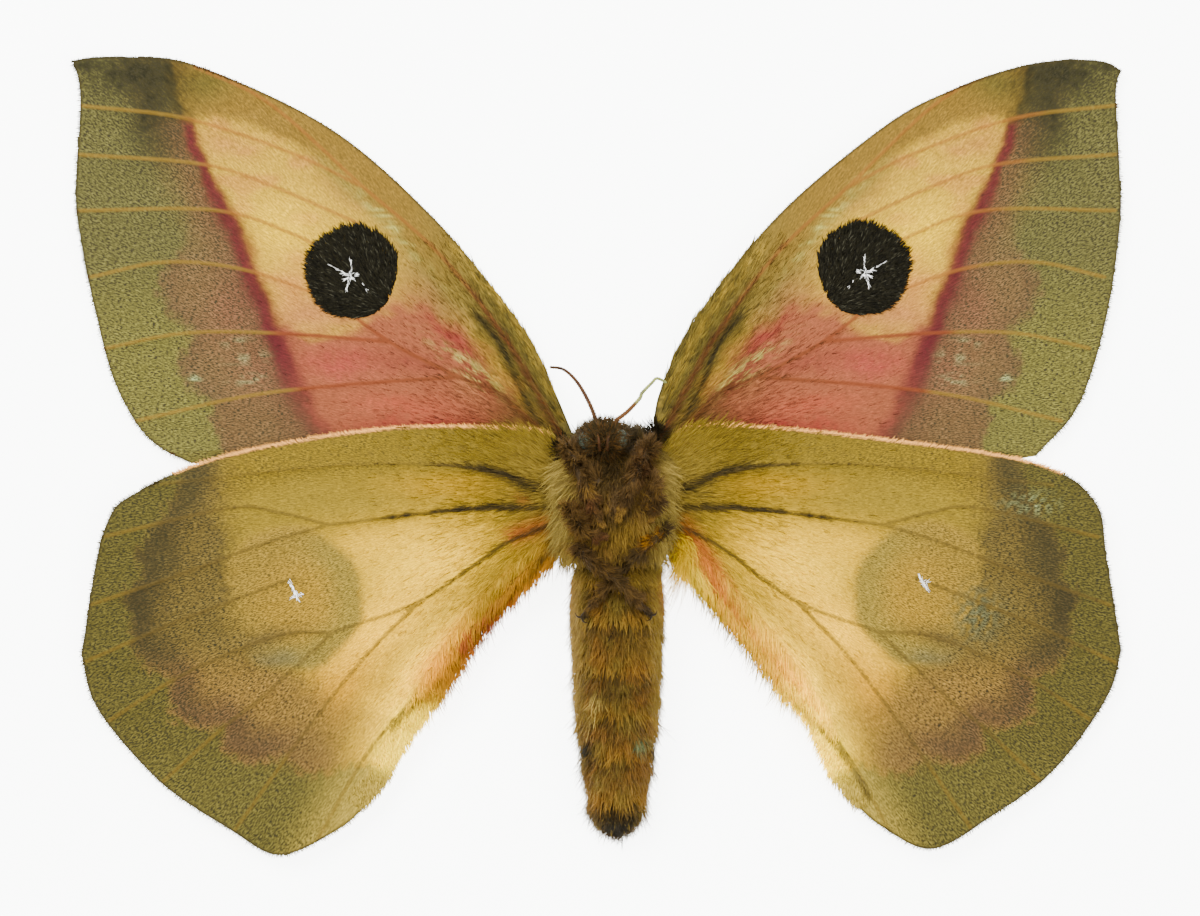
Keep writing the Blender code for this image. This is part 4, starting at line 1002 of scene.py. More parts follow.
store(skin.data, "tint", np.column_stack([colours, np.ones(len(colours))]))
skin.data.materials.clear()
skin.data.materials.append(horn_finish())
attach(skin, "root")
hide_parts("thorax", "abdomen", "head")

# The fur of the body
# Long soft hair lies back along the chest and out over the wing roots, and in a short ring over each joint
# of the abdomen. Each tuft is a few hairs that cling together.
LONG_TUFT = ((0.0, 1.0), (0.42, 0.85), (0.78, 0.5))
SHORT_TUFT = ((0.0, 1.0), (0.6, 0.7))
TUFT_CORNERS = ((-1.0, 0.0), (0.0, 0.7), (1.0, 0.0))
TUFT_PATCH = 0.003
FLOOR_CLEAR = 0.03
FUR_TOP = 13.6


def tuft_faces(rings):
    """Corner numbers of one tuft's faces: its sides, its point and its root."""
    faces = []
    for ring in range(0, 3 * rings - 3, 3):
        for i, j in ((0, 1), (1, 2), (2, 0)):
            faces.append((ring + i, ring + j, ring + 3 + j, ring + 3 + i))
    for i, j in ((0, 1), (1, 2), (2, 0)):
        faces.append((3 * rings - 3 + i, 3 * rings - 3 + j, 3 * rings))
    faces.append((2, 1, 0))
    return faces


def hair_finish(name, roughness=0.62):
    """Soft hair with painted shade at its root that lightens towards its tip, and streaked along its length.
    """
    made, shader, wire = finish_named(name, roughness, 0.07)
    paint = wire.stored("tint")
    run = wire.stored("tint", "Alpha")
    place = wire.place()
    fine = place.grain(3200.0, 2.0)
    # Painted shade: each tuft is darkened at its root and made lighter towards its tip.
    colour = paint.times((0.62 + run * 0.5) * (0.82 + fine * 0.36))
    colour.into(shader, "Base Color")
    return made


def coat(name, roots, outs, ways, lengths, widths, bends, tints, patches, finish, slot, rings=SHORT_TUFT):
    """Joins tufts into one piece. Each is a thin, bent, three-sided blade that runs to a point."""
    count = len(roots)
    corner_count = 3 * len(rings) + 1
    ways = ways / np.linalg.norm(ways, axis=1)[:, None]
    across = np.cross(ways, outs)
    across /= np.linalg.norm(across, axis=1)[:, None] + 1e-9
    over = np.cross(across, ways)
    lengths = lengths[:, None]
    widths = widths[:, None] / 2.0
    points = np.empty((count, corner_count, 3))
    shares = np.empty(corner_count)
    offsets = np.zeros((corner_count, 2))
    for ring, (share, breadth) in enumerate(rings):
        middle = roots + ways * lengths * share + bends * lengths * share**2
        for corner, (a, b) in enumerate(TUFT_CORNERS):
            spot = ring * 3 + corner
            points[:, spot] = middle + across * widths * breadth * a + over * widths * breadth * b
            shares[spot] = share
            offsets[spot] = (a * 0.5, share - 0.5)
    points[:, -1] = roots + ways * lengths + bends * lengths
    shares[-1] = 1.0
    offsets[-1] = (0.0, 0.5)
    points[..., 2] = np.clip(points[..., 2], FLOOR_CLEAR, FUR_TOP)
    faces = tuft_faces(len(rings))
    corners = np.concatenate(faces)
    starts = np.cumsum([0] + [len(face) for face in faces])[:-1]
    mesh = bpy.data.meshes.new(name)
    mesh.vertices.add(count * corner_count)
    mesh.vertices.foreach_set("co", (points * MM).astype(np.float32).ravel())
    mesh.loops.add(count * len(corners))
    numbers = np.arange(count)[:, None] * corner_count + corners
    mesh.loops.foreach_set("vertex_index", numbers.astype(np.int32).ravel())
    mesh.polygons.add(count * len(faces))
    places = (np.arange(count)[:, None] * len(corners) + starts).astype(np.int32)
    mesh.polygons.foreach_set("loop_start", places.ravel())
    mesh.update(calc_edges=True)
    layer = mesh.uv_layers.new(name="OFBake")
    spread = patches[:, None, :] + offsets[corners][None] * TUFT_PATCH
    layer.data.foreach_set("uv", spread.astype(np.float32).ravel())
    tinted = np.empty((count, corner_count, 4))
    tinted[..., :3] = tints[:, None, :]
    tinted[..., 3] = shares
    store(mesh, "tint", tinted.reshape(-1, 4))
    mesh.materials.append(finish)
    piece = bpy.data.objects.new(name, mesh)
    bpy.context.scene.collection.objects.link(piece)
    bpy.ops.object.select_all(action="DESELECT")
    piece.select_set(True)
    bpy.context.view_layer.objects.active = piece
    bpy.ops.object.shade_smooth()
    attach(piece, "root")
    return piece


def unrolled(forward, turn):
    """Where a place on the body lies on its skin unrolled flat: round it across, along it up."""
    return np.column_stack([(turn / (2.0 * math.pi)) % 1.0 * 0.98 + 0.01, (forward + 39.0) / 50.0])


def body_coat(name, seed, count, low, high, combed, length, width, clump, finish):
    """Fur on one stretch of the body, combed as a function of place says."""
    rng = np.random.default_rng(seed)
    forward = rng.uniform(low, high, count)
    turn = rng.uniform(-1.0, 1.0, count)
    turn = math.pi / 2.0 + math.pi * turn * np.abs(turn) ** 0.35
    roots = body_surface(forward, turn, BODY_INSET)
    outs = body_out(forward, turn)
    ways, lifts, lengths = combed(roots)
    lengths = lengths * rng.uniform(length[0], length[1], count)
    leans = [grain(roots + outs, clump, seed) for seed in (41.0, 42.0)]
    lean = np.column_stack([*leans, np.zeros(count)])
    ways = ways + lean * 0.42
    ways = ways - outs * np.sum(ways * outs, axis=1)[:, None]
    ways /= np.linalg.norm(ways, axis=1)[:, None]
    ways = ways + outs * lifts[:, None] + rng.normal(0.0, 0.1, (count, 3))
    bends = -outs * (lifts * 0.2)[:, None] + rng.normal(0.0, 0.17, (count, 3))
    widths = rng.uniform(width[0], width[1], count)
    tints = fur_paint(roots) * rng.uniform(1.0, 2.0, (count, 1))
    shape = (roots, outs, ways, lengths, widths, bends)
    return coat(name, *shape, tints, unrolled(forward, turn), finish, "brown_fur", LONG_TUFT)


def chest_comb(roots):
    """Chest hair lies back, out over the wings at the sides, and forward in a dark collar at the neck."""
    neck = rise(roots[:, 1], 6.2, 7.4)
    flank = rise(np.abs(roots[:, 0]), 3.6, 5.6)
    side = roots[:, 0] * (0.08 + 0.14 * flank)
    ways = np.column_stack([side, 1.9 * neck - 0.9 + 0.3 * flank, np.zeros(len(roots))])
    return ways, 0.34 - 0.12 * neck + 0.1 * flank, 0.75 + 0.6 * flank - 0.25 * neck


def belly_comb(roots):
    """Abdomen hair lies back, and stands a little further out over each joint."""
    hem = rise(segment_share(roots[:, 1]), 0.45, 0.9)
    side = (roots[:, 0] - ABDOMEN_SIDE) * 0.1
    ways = np.column_stack([side, -np.ones(len(roots)), np.zeros(len(roots))])
    rear = rise(-roots[:, 1], 12.0, 26.0)
    flank = rise(np.abs(roots[:, 0] - ABDOMEN_SIDE), 2.4, 4.4)
    lifts = 0.3 + 0.24 * hem + 0.16 * rear + flank * (0.22 * rear - 0.1)
    return ways, lifts, (0.8 + 0.4 * hem) * (0.95 + 0.3 * rear)


soft_hair = hair_finish("soft_hair")
body_coat("chest_fur_long", 1, 12000, -6.9, 8.0, chest_comb, (2.0, 3.2), (0.09, 0.18), 1.6, soft_hair)
body_coat("chest_fur_short", 2, 12000, -7.2, 8.1, chest_comb, (0.9, 1.7), (0.09, 0.16), 1.0, soft_hair)
body_coat("abdomen_fur_front", 3, 12400, -22.5, -6.2, belly_comb, (1.4, 2.3), (0.09, 0.18), 1.2, soft_hair)
body_coat("abdomen_fur_rear", 4, 12400, -37.2, -21.5, belly_comb, (1.4, 2.3), (0.09, 0.17), 1.2, soft_hair)

TAIL_HAIRS = 420
rng = np.random.default_rng(5)
forward = rng.uniform(-37.2, -34.6, TAIL_HAIRS)
turn = rng.normal(math.pi / 2.0, 0.5, TAIL_HAIRS)
roots = body_surface(forward, turn, BODY_INSET)
outs = body_out(forward, turn)
ways = np.tile((0.0, -0.8, 0.0), (TAIL_HAIRS, 1)) + outs * 0.9 + rng.normal(0.0, 0.3, (TAIL_HAIRS, 3))
lengths, widths = rng.uniform(0.9, 1.8, TAIL_HAIRS), rng.uniform(0.09, 0.18, TAIL_HAIRS)
bends = rng.normal(0.0, 0.15, (TAIL_HAIRS, 3))
tints = np.tile(linear((40, 32, 12)), (TAIL_HAIRS, 1)) * rng.uniform(0.6, 1.6, (TAIL_HAIRS, 1))
tints[rng.uniform(0.0, 1.0, TAIL_HAIRS) < 0.12] = linear((190, 164, 96))
shape = (roots, outs, ways, lengths, widths, bends)
coat("tail_tuft", *shape, tints, unrolled(forward, turn), soft_hair, "brown_fur", LONG_TUFT)

# The head
# It is small and sunk in the collar, with a round eye at each side, two short palps in front and a face of
# short hair. The eyes are dried, dull and blue-grey.
EYE_PLACES = {"right": (-2.85, 6.9, 8.5), "left": (0.65, 6.9, 8.5)}
EYE_RADIUS = 1.15


def eye_finish():
    """Dull blue-grey eye, netted with fine facets."""
    made, shader, wire = finish_named("dried_eye", 0.62, 0.14)
    place = wire.place()
    facets = wire.node("ShaderNodeTexVoronoi", {"feature": "F1"}, {"Vector": place, "Scale": 9000.0})
    mottle = place.grain(1400.0, 3.0)
    colour = mottle.ramp(0.36, (70, 82, 78), 0.6, (150, 168, 164)).times(1.15 - facets * 0.6)
    colour.into(shader, "Base Color")
    facets.relief(shader, 0.4, 0.00005, invert=True)
    return made


dried_eye = eye_finish()
for side, place in EYE_PLACES.items():
    bpy.ops.object.select_all(action="DESELECT")
    bpy.ops.mesh.primitive_uv_sphere_add(segments=48, ring_count=32, radius=EYE_RADIUS * MM)
    eye = bpy.context.object
    eye.name = "eye_" + side + "_ball"
    bpy.ops.object.mode_set(mode="EDIT")
    bpy.ops.mesh.select_all(action="SELECT")
    bpy.ops.transform.resize(value=(0.92, 1.0, 1.0))
    bpy.ops.transform.translate(value=tuple(n * MM for n in place))
    bpy.ops.object.mode_set(mode="OBJECT")
    bpy.ops.object.shade_smooth()
    eye.data.materials.append(dried_eye)
    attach(eye, "root")
    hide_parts("eye_" + side)


FACE_HAIRS = 3600
LASH_HAIRS = (520, 640)
rng = np.random.default_rng(50)
heading = rng.normal(0.0, 1.0, (FACE_HAIRS * 3, 3))
heading /= np.linalg.norm(heading, axis=1)[:, None]
roots = heading * (np.array(HEAD_RADII) - 0.15) + HEAD_MIDDLE
eye_gap = np.min([np.linalg.norm(roots - place, axis=1) for place in EYE_PLACES.values()], axis=0)
face = (eye_gap > EYE_RADIUS - 0.1) & (roots[:, 2] > 6.2)
roots, heading = roots[face][:FACE_HAIRS], heading[face][:FACE_HAIRS]
side = (roots[:, 0] - HEAD_MIDDLE[0]) * 0.25
ways = np.column_stack([side, np.full(len(roots), 0.5), np.zeros(len(roots))])
ways = ways + heading * 0.8 + rng.normal(0.0, 0.42, (len(roots), 3))
lengths = rng.uniform(0.8, 2.0, len(roots))
bends = -heading * 0.1
for (side, place), number in zip(EYE_PLACES.items(), LASH_HAIRS):
    round_eye = rng.uniform(-math.pi, math.pi, number)
    ring = np.column_stack([np.cos(round_eye), np.sin(round_eye), np.full(number, 0.0)])
    inward = ring * -0.5 + [0.0, 0.1, 0.9] + rng.normal(0.0, 0.35, ring.shape)
    roots = np.vstack([roots, ring * EYE_RADIUS * 1.02 + place])
    ways = np.vstack([ways, inward])
    heading = np.vstack([heading, ring])
    lengths = np.concatenate([lengths, rng.uniform(0.9, 1.7, number)])
    bends = np.vstack([bends, ring * -0.5 + rng.normal(0.0, 0.2, ring.shape)])
outs = heading
count = len(roots)
tints = np.tile(linear((78, 60, 26)), (count, 1)) * rng.uniform(0.5, 1.8, (count, 1))
tints[rng.uniform(0.0, 1.0, count) < 0.3] = linear((140, 96, 38))
patches = 0.5 + (roots - HEAD_MIDDLE)[:, :2] / 9.0
widths = rng.uniform(0.07, 0.13, count)
coat("face_fur", roots, outs, ways, lengths, widths, bends, tints, patches, soft_hair, "brown_fur")


def tube_piece(name, path, radii, sides, finish, replaced=()):
    """A round stem along a path, rolled from a grid and closed at its ends."""
    path = np.asarray(path, float)
    bpy.ops.object.select_all(action="DESELECT")
    bpy.ops.mesh.primitive_grid_add(x_subdivisions=sides, y_subdivisions=len(path) - 1, size=2.0)
    piece = bpy.context.object
    piece.name = name
    unit = places_of(piece.data)
    station = np.rint((unit[:, 1] + 1.0) / 2.0 * (len(path) - 1)).astype(int)
    turn = unit[:, 0] * math.pi
    ways = np.gradient(path, axis=0)
    ways /= np.linalg.norm(ways, axis=1)[:, None]
    across = np.cross(ways, (0.0, 0.0, 1.0))
    across /= np.linalg.norm(across, axis=1)[:, None] + 1e-9
    over = np.cross(across, ways)
    wide = np.asarray(radii, float)[station, None]
    outs = across[station] * np.cos(turn)[:, None] + over[station] * np.sin(turn)[:, None]
    spots = path[station] + outs * wide
    move_to(piece.data, spots)
    close_shell(0.000002)
    bpy.ops.object.shade_smooth_by_angle(angle=math.radians(60.0))
    piece.data.materials.append(finish)
    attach(piece, "root")
    if replaced:
        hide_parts(*replaced)


def stem_finish(name, low, high, roughness, base=None):
    """Horn that is mottled between two browns, with a fine grain in relief. Its base can be another colour.
    """
    made, shader, wire = finish_named(name, roughness, 0.1)
    place = wire.place()
    mottle = place.grain(900.0, 4.0)
    colour = mottle.ramp(0.3, low, 0.7, high)
    if base:
        forward = wire.node("ShaderNodeSeparateXYZ", {}, {0: place}, 1) + (mottle - 0.5) * 0.002
        colour = colour.blend(1.0 - forward.step(base[1], base[2]), opaque(base[0]))
    colour.into(shader, "Base Color")
    place.grain(6000.0, 2.0).relief(shader, 0.4, 0.00004)
    return made


red_horn = stem_finish("red_brown_stem", (58, 32, 10), (128, 76, 24), 0.6)
for side, out in OUT.items():
    root = np.array([HEAD_MIDDLE[0] + 0.42 * out, HEAD_MIDDLE[1] - 1.2, HEAD_MIDDLE[2] + 1.85])
    path = curve([root, root + (0.06 * out, 1.0, 0.7), root + (0.24 * out, 2.0, 0.5)], 0.25)
    share = np.linspace(0.0, 1.0, len(path))
    radii = np.interp(share, (0.0, 0.15, 0.6, 0.9, 1.0), (0.15, 0.2, 0.18, 0.11, 0.04))
    tube_piece("palp_" + side + "_stem", path, radii, 14, red_horn, ["palp_" + side])

# The feelers
# Two thin, dry, thread-like feelers, finely ringed, rise from between the eyes. The left one has bleached,
# all but its base, and is kinked near its end.
BLEACHED = ((138, 84, 28), 0.0106, 0.0118)
pale_horn = stem_finish("bleached_stem", (120, 116, 84), (196, 196, 160), 0.6, BLEACHED)
FEELERS = {
    "right": [(-1.9, 8.4, 8.4), (-1.95, 9.1, 8.3), (-2.8, 11.2, 8.1), (-4.1, 13.4, 7.0), (-5.6, 14.8, 5.6),
              (-7.2, 15.1, 4.9)],
    "left": [(0.2, 8.3, 8.4), (0.35, 9.0, 8.3), (1.6, 10.0, 8.1), (3.0, 11.5, 7.3), (3.25, 12.1, 7.0),
             (4.4, 13.3, 5.9), (5.0, 13.8, 5.4), (6.1, 13.3, 4.9)],
}
for side, points in FEELERS.items():
    path = curve(points, 0.16)
    share = np.linspace(0.0, 1.0, len(path))
    radii = (0.27 - 0.11 * share) * (1.0 + 0.16 * np.where(np.arange(len(path)) % 2, 1.0, -1.0))
    radii[-1] = 0.04
    stem = red_horn if side == "right" else pale_horn
    tube_piece("feeler_" + side, path, radii, 10, stem, ["antenna_" + side])

# The legs
# Six short legs in thick brown fur are folded over the chest, and the hind feet cross over the abdomen. Each
# ends in two small dark curved claws. A joint has a place, a radius and a lift off the body.
LEG_GAP = 0.32
LEGS = {
    "foreleg_right": [
        (-1.4, 1.8, 0.8, -1.2),
        (-5.2, 6.3, 0.9, 0.8),
        (-2.3, -0.3, 0.75, 0.3),
        (-1.2, -2.8, 0.42, 0.3),
    ],
    "foreleg_left": [
        (1.3, 2.2, 0.8, -1.2),
        (4.3, 6.5, 0.95, 0.8),
        (1.4, 0.4, 0.75, 0.3),
        (0.5, -2.2, 0.42, 0.3),
    ],
    "midleg_right": [
        (-4.0, -2.2, 0.7, -1.2),
        (-5.0, -0.7, 0.75, 0.4),
        (-3.3, -3.6, 0.6, 0.3),
        (-0.9, -4.1, 0.4, 0.3),
    ],
    "midleg_left": [
        (3.1, -1.4, 0.7, -1.2),
        (4.8, 2.5, 0.75, 0.4),
        (4.7, -0.3, 0.6, 0.3),
        (4.3, -2.2, 0.42, 0.3),
    ],
    "hindleg_right": [
        (-2.2, -5.7, 0.7, -1.0),
        (-4.1, -5.1, 0.75, 0.4),
        (-2.3, -6.9, 0.65, 1.6),
        (0.4, -8.8, 0.6, 2.0),
        (4.2, -12.8, 0.4, 0.3),
    ],
    "hindleg_left": [
        (3.3, -5.0, 0.6, -1.2),
        (6.0, -3.1, 0.7, 0.5),
        (2.8, -5.9, 0.65, 0.4),
        (0.2, -8.6, 0.55, 0.3),
        (-3.4, -13.0, 0.38, 0.3),
    ],
}
LEG_CORE = 0.62
LEG_HAIRS = {"foreleg": 2400, "midleg": 1700, "hindleg": 1700}
CLAW = ((-0.2, 0.0, 0.0), (0.35, 0.2, 0.25), (0.5, 0.6, 0.2), (0.3, 1.05, 0.0))
leg_horn = stem_finish("leg_horn", (46, 30, 8), (84, 58, 18), 0.6)
claw_horn = stem_finish("claw_horn", (16, 10, 4), (44, 28, 8), 0.5)


def leg_path(joints):
    """The leg's middle line and its radius, laid over the body's curve."""
    points, radii = [], []
    for (x, y, radius, lift), (to_x, to_y, to_radius, to_lift) in zip(joints, joints[1:]):
        count = max(3, round(math.dist((x, y), (to_x, to_y)) / 0.35))
        for i in range(count):
            t = i / count
            px, py, wide = x + (to_x - x) * t, y + (to_y - y) * t, radius + (to_radius - radius) * t
            points.append((px, py, torso_top(px, py) + wide + LEG_GAP + lift + (to_lift - lift) * t))
            radii.append(wide)
    x, y, radius, lift = joints[-1]
    points.append((x, y, torso_top(x, y) + radius + LEG_GAP + lift))
    radii.append(radius)
    return np.array(points), np.array(radii)


def leg_tint(points):
    """Colours of the legs' fur: dark brown with golden ends."""
    patch = grain(points + points[:, 2:], 1.8, 51.0)
    paint = Paint((110, 76, 26), len(points))
    paint.lay(0.7 * rise(patch, 0.0, 0.8), (164, 124, 56))
    paint.lay(0.6 * rise(-patch, 0.1, 0.8), (72, 48, 16))
    for colour, place, size in CHEST_BLOTS:
        paint.lay(0.7 * blot(points, place, size), colour)
    hind = past_line(points[:, :2], [(6.2, -2.9), (2.8, -5.9), (0.6, -8.2)], 0.5)
    paint.lay(0.75 * band(hind, 1.1), (74, 54, 20))
    for place in ((-3.3, -12.9), (4.1, -12.7)):
        paint.lay(0.9 * blot(points, place, (1.1, 0.8)), (52, 38, 12))
    for place in ((4.0, -4.1), (3.3, -2.5)):
        paint.lay(blot(points, place, (0.5, 0.8)), (196, 138, 28))
    return paint.colours


for number, (leg, joints) in enumerate(LEGS.items()):
    path, radii = leg_path(joints)
    smooth = path.copy()
    for _ in range(3):
        smooth[1:-1] = (smooth[:-2] + 2.0 * smooth[1:-1] + smooth[2:]) / 4.0
    tube_piece(leg + "_stem", smooth, radii * LEG_CORE, 14, leg_horn, [leg])
    rng = np.random.default_rng(60 + number)
    count = LEG_HAIRS[leg.split("_")[0]]
    pick = rng.uniform(0.02, 0.995, count) * (len(smooth) - 1)
    base = pick.astype(int)
    part = (pick - base)[:, None]
    middle = smooth[base] * (1.0 - part) + smooth[base + 1] * part
    way = smooth[base + 1] - smooth[base]
    way /= np.linalg.norm(way, axis=1)[:, None]
    across = np.cross(way, (0.0, 0.0, 1.0))
    across /= np.linalg.norm(across, axis=1)[:, None]
    over = np.cross(across, way)
    turn = rng.uniform(-math.pi, math.pi, count)
    outs = across * np.cos(turn)[:, None] + over * np.sin(turn)[:, None]
    wide = np.interp(pick, np.arange(len(radii)), radii)
    roots = middle + outs * (wide * LEG_CORE * 0.9)[:, None]
    thin = rise(pick / len(smooth), 0.72, 0.9)
    lean = np.column_stack([grain(roots, 0.9, 55.0), grain(roots, 0.9, 56.0), np.zeros(count)])
    ways = way + outs * (0.55 - 0.3 * thin)[:, None] + lean * 0.7 + rng.normal(0.0, 0.25, (count, 3))
    lengths = rng.uniform(0.9, 1.9, count) * (1.0 - 0.6 * thin)
    tints = leg_tint(roots) * rng.uniform(1.0, 1.8, (count, 1))
    patches = np.column_stack([0.02 + 0.96 * pick / len(smooth), (number + 0.5 + turn / 7.0) / 6.0])
    widths = rng.uniform(0.08, 0.16, count)
    coat(leg + "_fur", roots, outs, ways, lengths, widths, -outs * 0.1, tints, patches, soft_hair, "leg_fur")
    tip = smooth[-1]
    way = (smooth[-1] - smooth[-3]) / np.linalg.norm(smooth[-1] - smooth[-3])
    side_way = np.cross(way, (0.0, 0.0, 1.0))
    for hook, sign in (("a", -1.0), ("b", 1.0)):
        size = 1.0 if leg.startswith("hind") else 0.45
        points = [tip + (way * a + side_way * b * sign + np.array([0.0, 0.0, c])) * size for a, b, c in CLAW]
        line = curve(points, 0.12 * size)
        thin = np.linspace(0.15, 0.03, len(line)) * size
        tube_piece(leg + "_claw_" + hook, line, thin, 8, claw_horn)

# The hair of the wings
# Hair thickens towards the wing roots and hangs over the hindwings' inner edges. The round dark spots of the
# forewings are raised patches of black hair with a star of white scales.
HAIR_STEP = 0.7
HAIR_SHADE = 1.2
STREWN = 40000
ROOT_HAIRS = 5600


def on_wing(name, flat):
    """Places on a wing's painted face, from places out and forward."""
    side = name.split("_")[1]
    return np.column_stack([flat * [OUT[side], 1.0], wing_face(name, flat) - 0.02])


def unrolled_wing(roots):
    """Where places on a wing lie on its bake map, which holds all four wings seen from above."""
    return np.column_stack([(roots[:, 0] + 65.0) / 131.0, (roots[:, 1] + 45.0) / 131.0])


def wing_tints(name, flat):
    """The wing's own colours at places on it."""
    kind, side = name.split("_")
    paint = (fore_paint if kind == "forewing" else hind_paint)(side, flat)[0]
    gap = np.min([near(flat, line)[0] for line in vein_lines(name)], axis=0)
    paint.lay(0.85 * band(gap, 0.34), (144, 84, 40) if kind == "forewing" else (100, 78, 34))
    return paint.colours


def wing_coat(label, name, seed, flat, ways, lengths, widths, lifts, tints):
    """Hair on one wing. Ways run out and forward on a right wing and are mirrored on a left one."""
    rng = np.random.default_rng(seed)
    out = OUT[name.split("_")[1]]
    count = len(flat)
    roots = on_wing(name, flat)
    ways = ways / np.linalg.norm(ways, axis=1)[:, None]
    slope = (wing_face(name, flat + ways * HAIR_STEP) - wing_face(name, flat)) / HAIR_STEP
    ways = np.column_stack([ways * [out, 1.0], lifts + slope])
    ways = ways + rng.normal(0.0, 0.1, (count, 3)) * [1.0, 1.0, 0.3]
    outs = np.tile((0.0, 0.0, 1.0), (count, 1))
    bends = np.column_stack([rng.normal(0.0, 0.12, (count, 2)), -lifts * 0.6])
    shape = (roots, outs, ways, lengths, widths, bends)
    return coat(label, *shape, tints * HAIR_SHADE, unrolled_wing(roots), soft_hair, name.split("_")[0])


def fan_ways(flat, root):
    """The way out from a wing's root at each place."""
    ways = flat - np.asarray(root)
    return ways / np.linalg.norm(ways, axis=1)[:, None]


for wing, rims in RIMS.items():
    kind, side = wing.split("_")
    rng = np.random.default_rng(70 + len(wing) + (side == "left"))
    ring = np.vstack([curve(stretch, 1.0) for stretch in rims])
    root = (2.0, 4.0) if kind == "forewing" else (2.0, 1.0)
    seeds = np.column_stack([rng.gamma(1.6, 4.2, STREWN) + 5.4, rng.uniform(-30.0, 30.0, STREWN)])
    seeds = seeds[within(seeds, ring)][:ROOT_HAIRS]
    near_root = rise(seeds[:, 0], 26.0, 6.0)
    lengths = rng.uniform(0.7, 1.3, len(seeds)) * (0.7 + 1.1 * near_root)
    tints = wing_tints(wing, seeds) * rng.uniform(0.85, 1.25, (len(seeds), 1))
    tints[rng.uniform(0.0, 1.0, len(seeds)) < 0.12] *= 0.55
    lifts = rng.uniform(0.08, 0.22, len(seeds))
    widths = rng.uniform(0.07, 0.13, len(seeds))
    wing_coat(wing + "_root_hair", wing, 80, seeds, fan_ways(seeds, root), lengths, widths, lifts, tints)
    outer = np.vstack([curve(stretch, 0.12) for stretch in rims[: (3 if kind == "forewing" else 2)]])
    outer = outer[outer[:, 0] > 7.0]
    way = np.gradient(outer, axis=0)
    way /= np.linalg.norm(way, axis=1)[:, None]
    away = np.column_stack([-way[:, 1], way[:, 0]])
    ahead = outer[:, 1] > 3.0 if kind == "hindwing" else np.zeros(len(outer), bool)
    pick = np.repeat(np.arange(len(outer)), np.where(ahead, 4, 2))
    edge = outer[pick] - away[pick] * rng.uniform(0.05, 0.3, (len(pick), 1))
    tints = wing_tints(wing, edge) * 0.75
    pale = ahead[pick]
    tints[pale] = linear((240, 208, 182))
    lengths = np.where(pale, rng.uniform(0.35, 0.75, len(pick)), rng.uniform(0.3, 0.6, len(pick)))
    lengths[(kind == "forewing") & (pick < len(curve(rims[0], 0.12)))] *= 0.6
    ways = away[pick] + way[pick] * np.where(pale, 0.8, 0.1)[:, None]
    widths = rng.uniform(0.06, 0.1, len(pick))
    wing_coat(wing + "_edge_hair", wing, 81, edge, ways, lengths, widths, np.full(len(pick), 0.05), tints)

SPOT_HAIRS = 5600
STAR_RAYS = [((0.0, 0.2), (-0.1, 1.9), 12), ((0.0, -0.1), (0.5, -1.9), 16), ((0.1, 0.1), (1.1, 0.3), 12),
             ((0.0, 0.0), (-1.1, 0.2), 9), ((-0.9, -0.8), (-2.4, -1.8), 3), ((0.8, 0.5), (2.4, 1.2), 4),
             ((0.3, 0.3), (-0.5, -0.6), 12), ((0.1, -0.1), (0.9, -0.6), 7)]


def shine(label, wing, rays, middle, above):
    """A ragged star of long white scales. Each ray has a start, an end and a number of scales."""
    rng = np.random.default_rng(93)
    starts, ways, lengths = [], [], []
    for begin, end, number in rays:
        begin, end = np.array(begin), np.array(end)
        for _ in range(number):
            share = rng.uniform(0.0, 0.8)
            starts.append(begin + (end - begin) * share + rng.normal(0.0, 0.16 * (1.0 - share), 2))
            ways.append((end - begin) / np.linalg.norm(end - begin) + rng.normal(0.0, 0.25, 2))
            lengths.append(rng.uniform(0.25, 0.65))
    count = len(starts)
    flat = np.array(starts) + middle
    widths = rng.uniform(0.04, 0.09, count)
    white = np.tile((1.1, 1.1, 1.06), (count, 1))
    ways, lengths = np.array(ways), np.array(lengths)
    piece = wing_coat(label, wing, 92, flat, ways, lengths, widths, np.zeros(count), white)
    move_to(piece.data, places_of(piece.data) / MM + [0.0, 0.0, above])


for side, (out, forward) in FORE_PLACES.items():
    rng = np.random.default_rng(90)
    wing = "forewing_" + side
    turn = rng.uniform(-math.pi, math.pi, SPOT_HAIRS)
    reach = np.sqrt(rng.uniform(0.0, 1.0, SPOT_HAIRS))
    wavy = 1.0 + 0.02 * np.sin(turn * 5.0) + 0.02 * np.sin(turn * 3.0 + 1.0)
    disc = np.column_stack([np.cos(turn), np.sin(turn)]) * (reach * wavy * (FORE_SPOT - 0.3))[:, None]
    flat = disc + (out, forward) - np.array([0.45, -0.3]) * rise(reach, 0.5, 1.0)[:, None]
    ways = fan_ways(flat, (4.0, 4.0)) * 0.9 + disc * 0.12
    tints = np.tile(linear((34, 30, 16)), (len(flat), 1)) * rng.uniform(0.4, 1.8, (len(flat), 1))
    streaked = rng.uniform(0.0, 1.0, len(flat)) < 0.06
    tints[streaked] = linear((96, 92, 70))
    lengths = rng.uniform(0.7, 1.3, len(flat))
    widths = rng.uniform(0.1, 0.2, len(flat))
    lifts = rng.uniform(0.12, 0.4, len(flat))
    wing_coat(wing + "_spot_hair", wing, 91, flat, ways, lengths, widths, lifts, tints)
    shine(wing + "_star", wing, STAR_RAYS, (out, forward), 0.36)

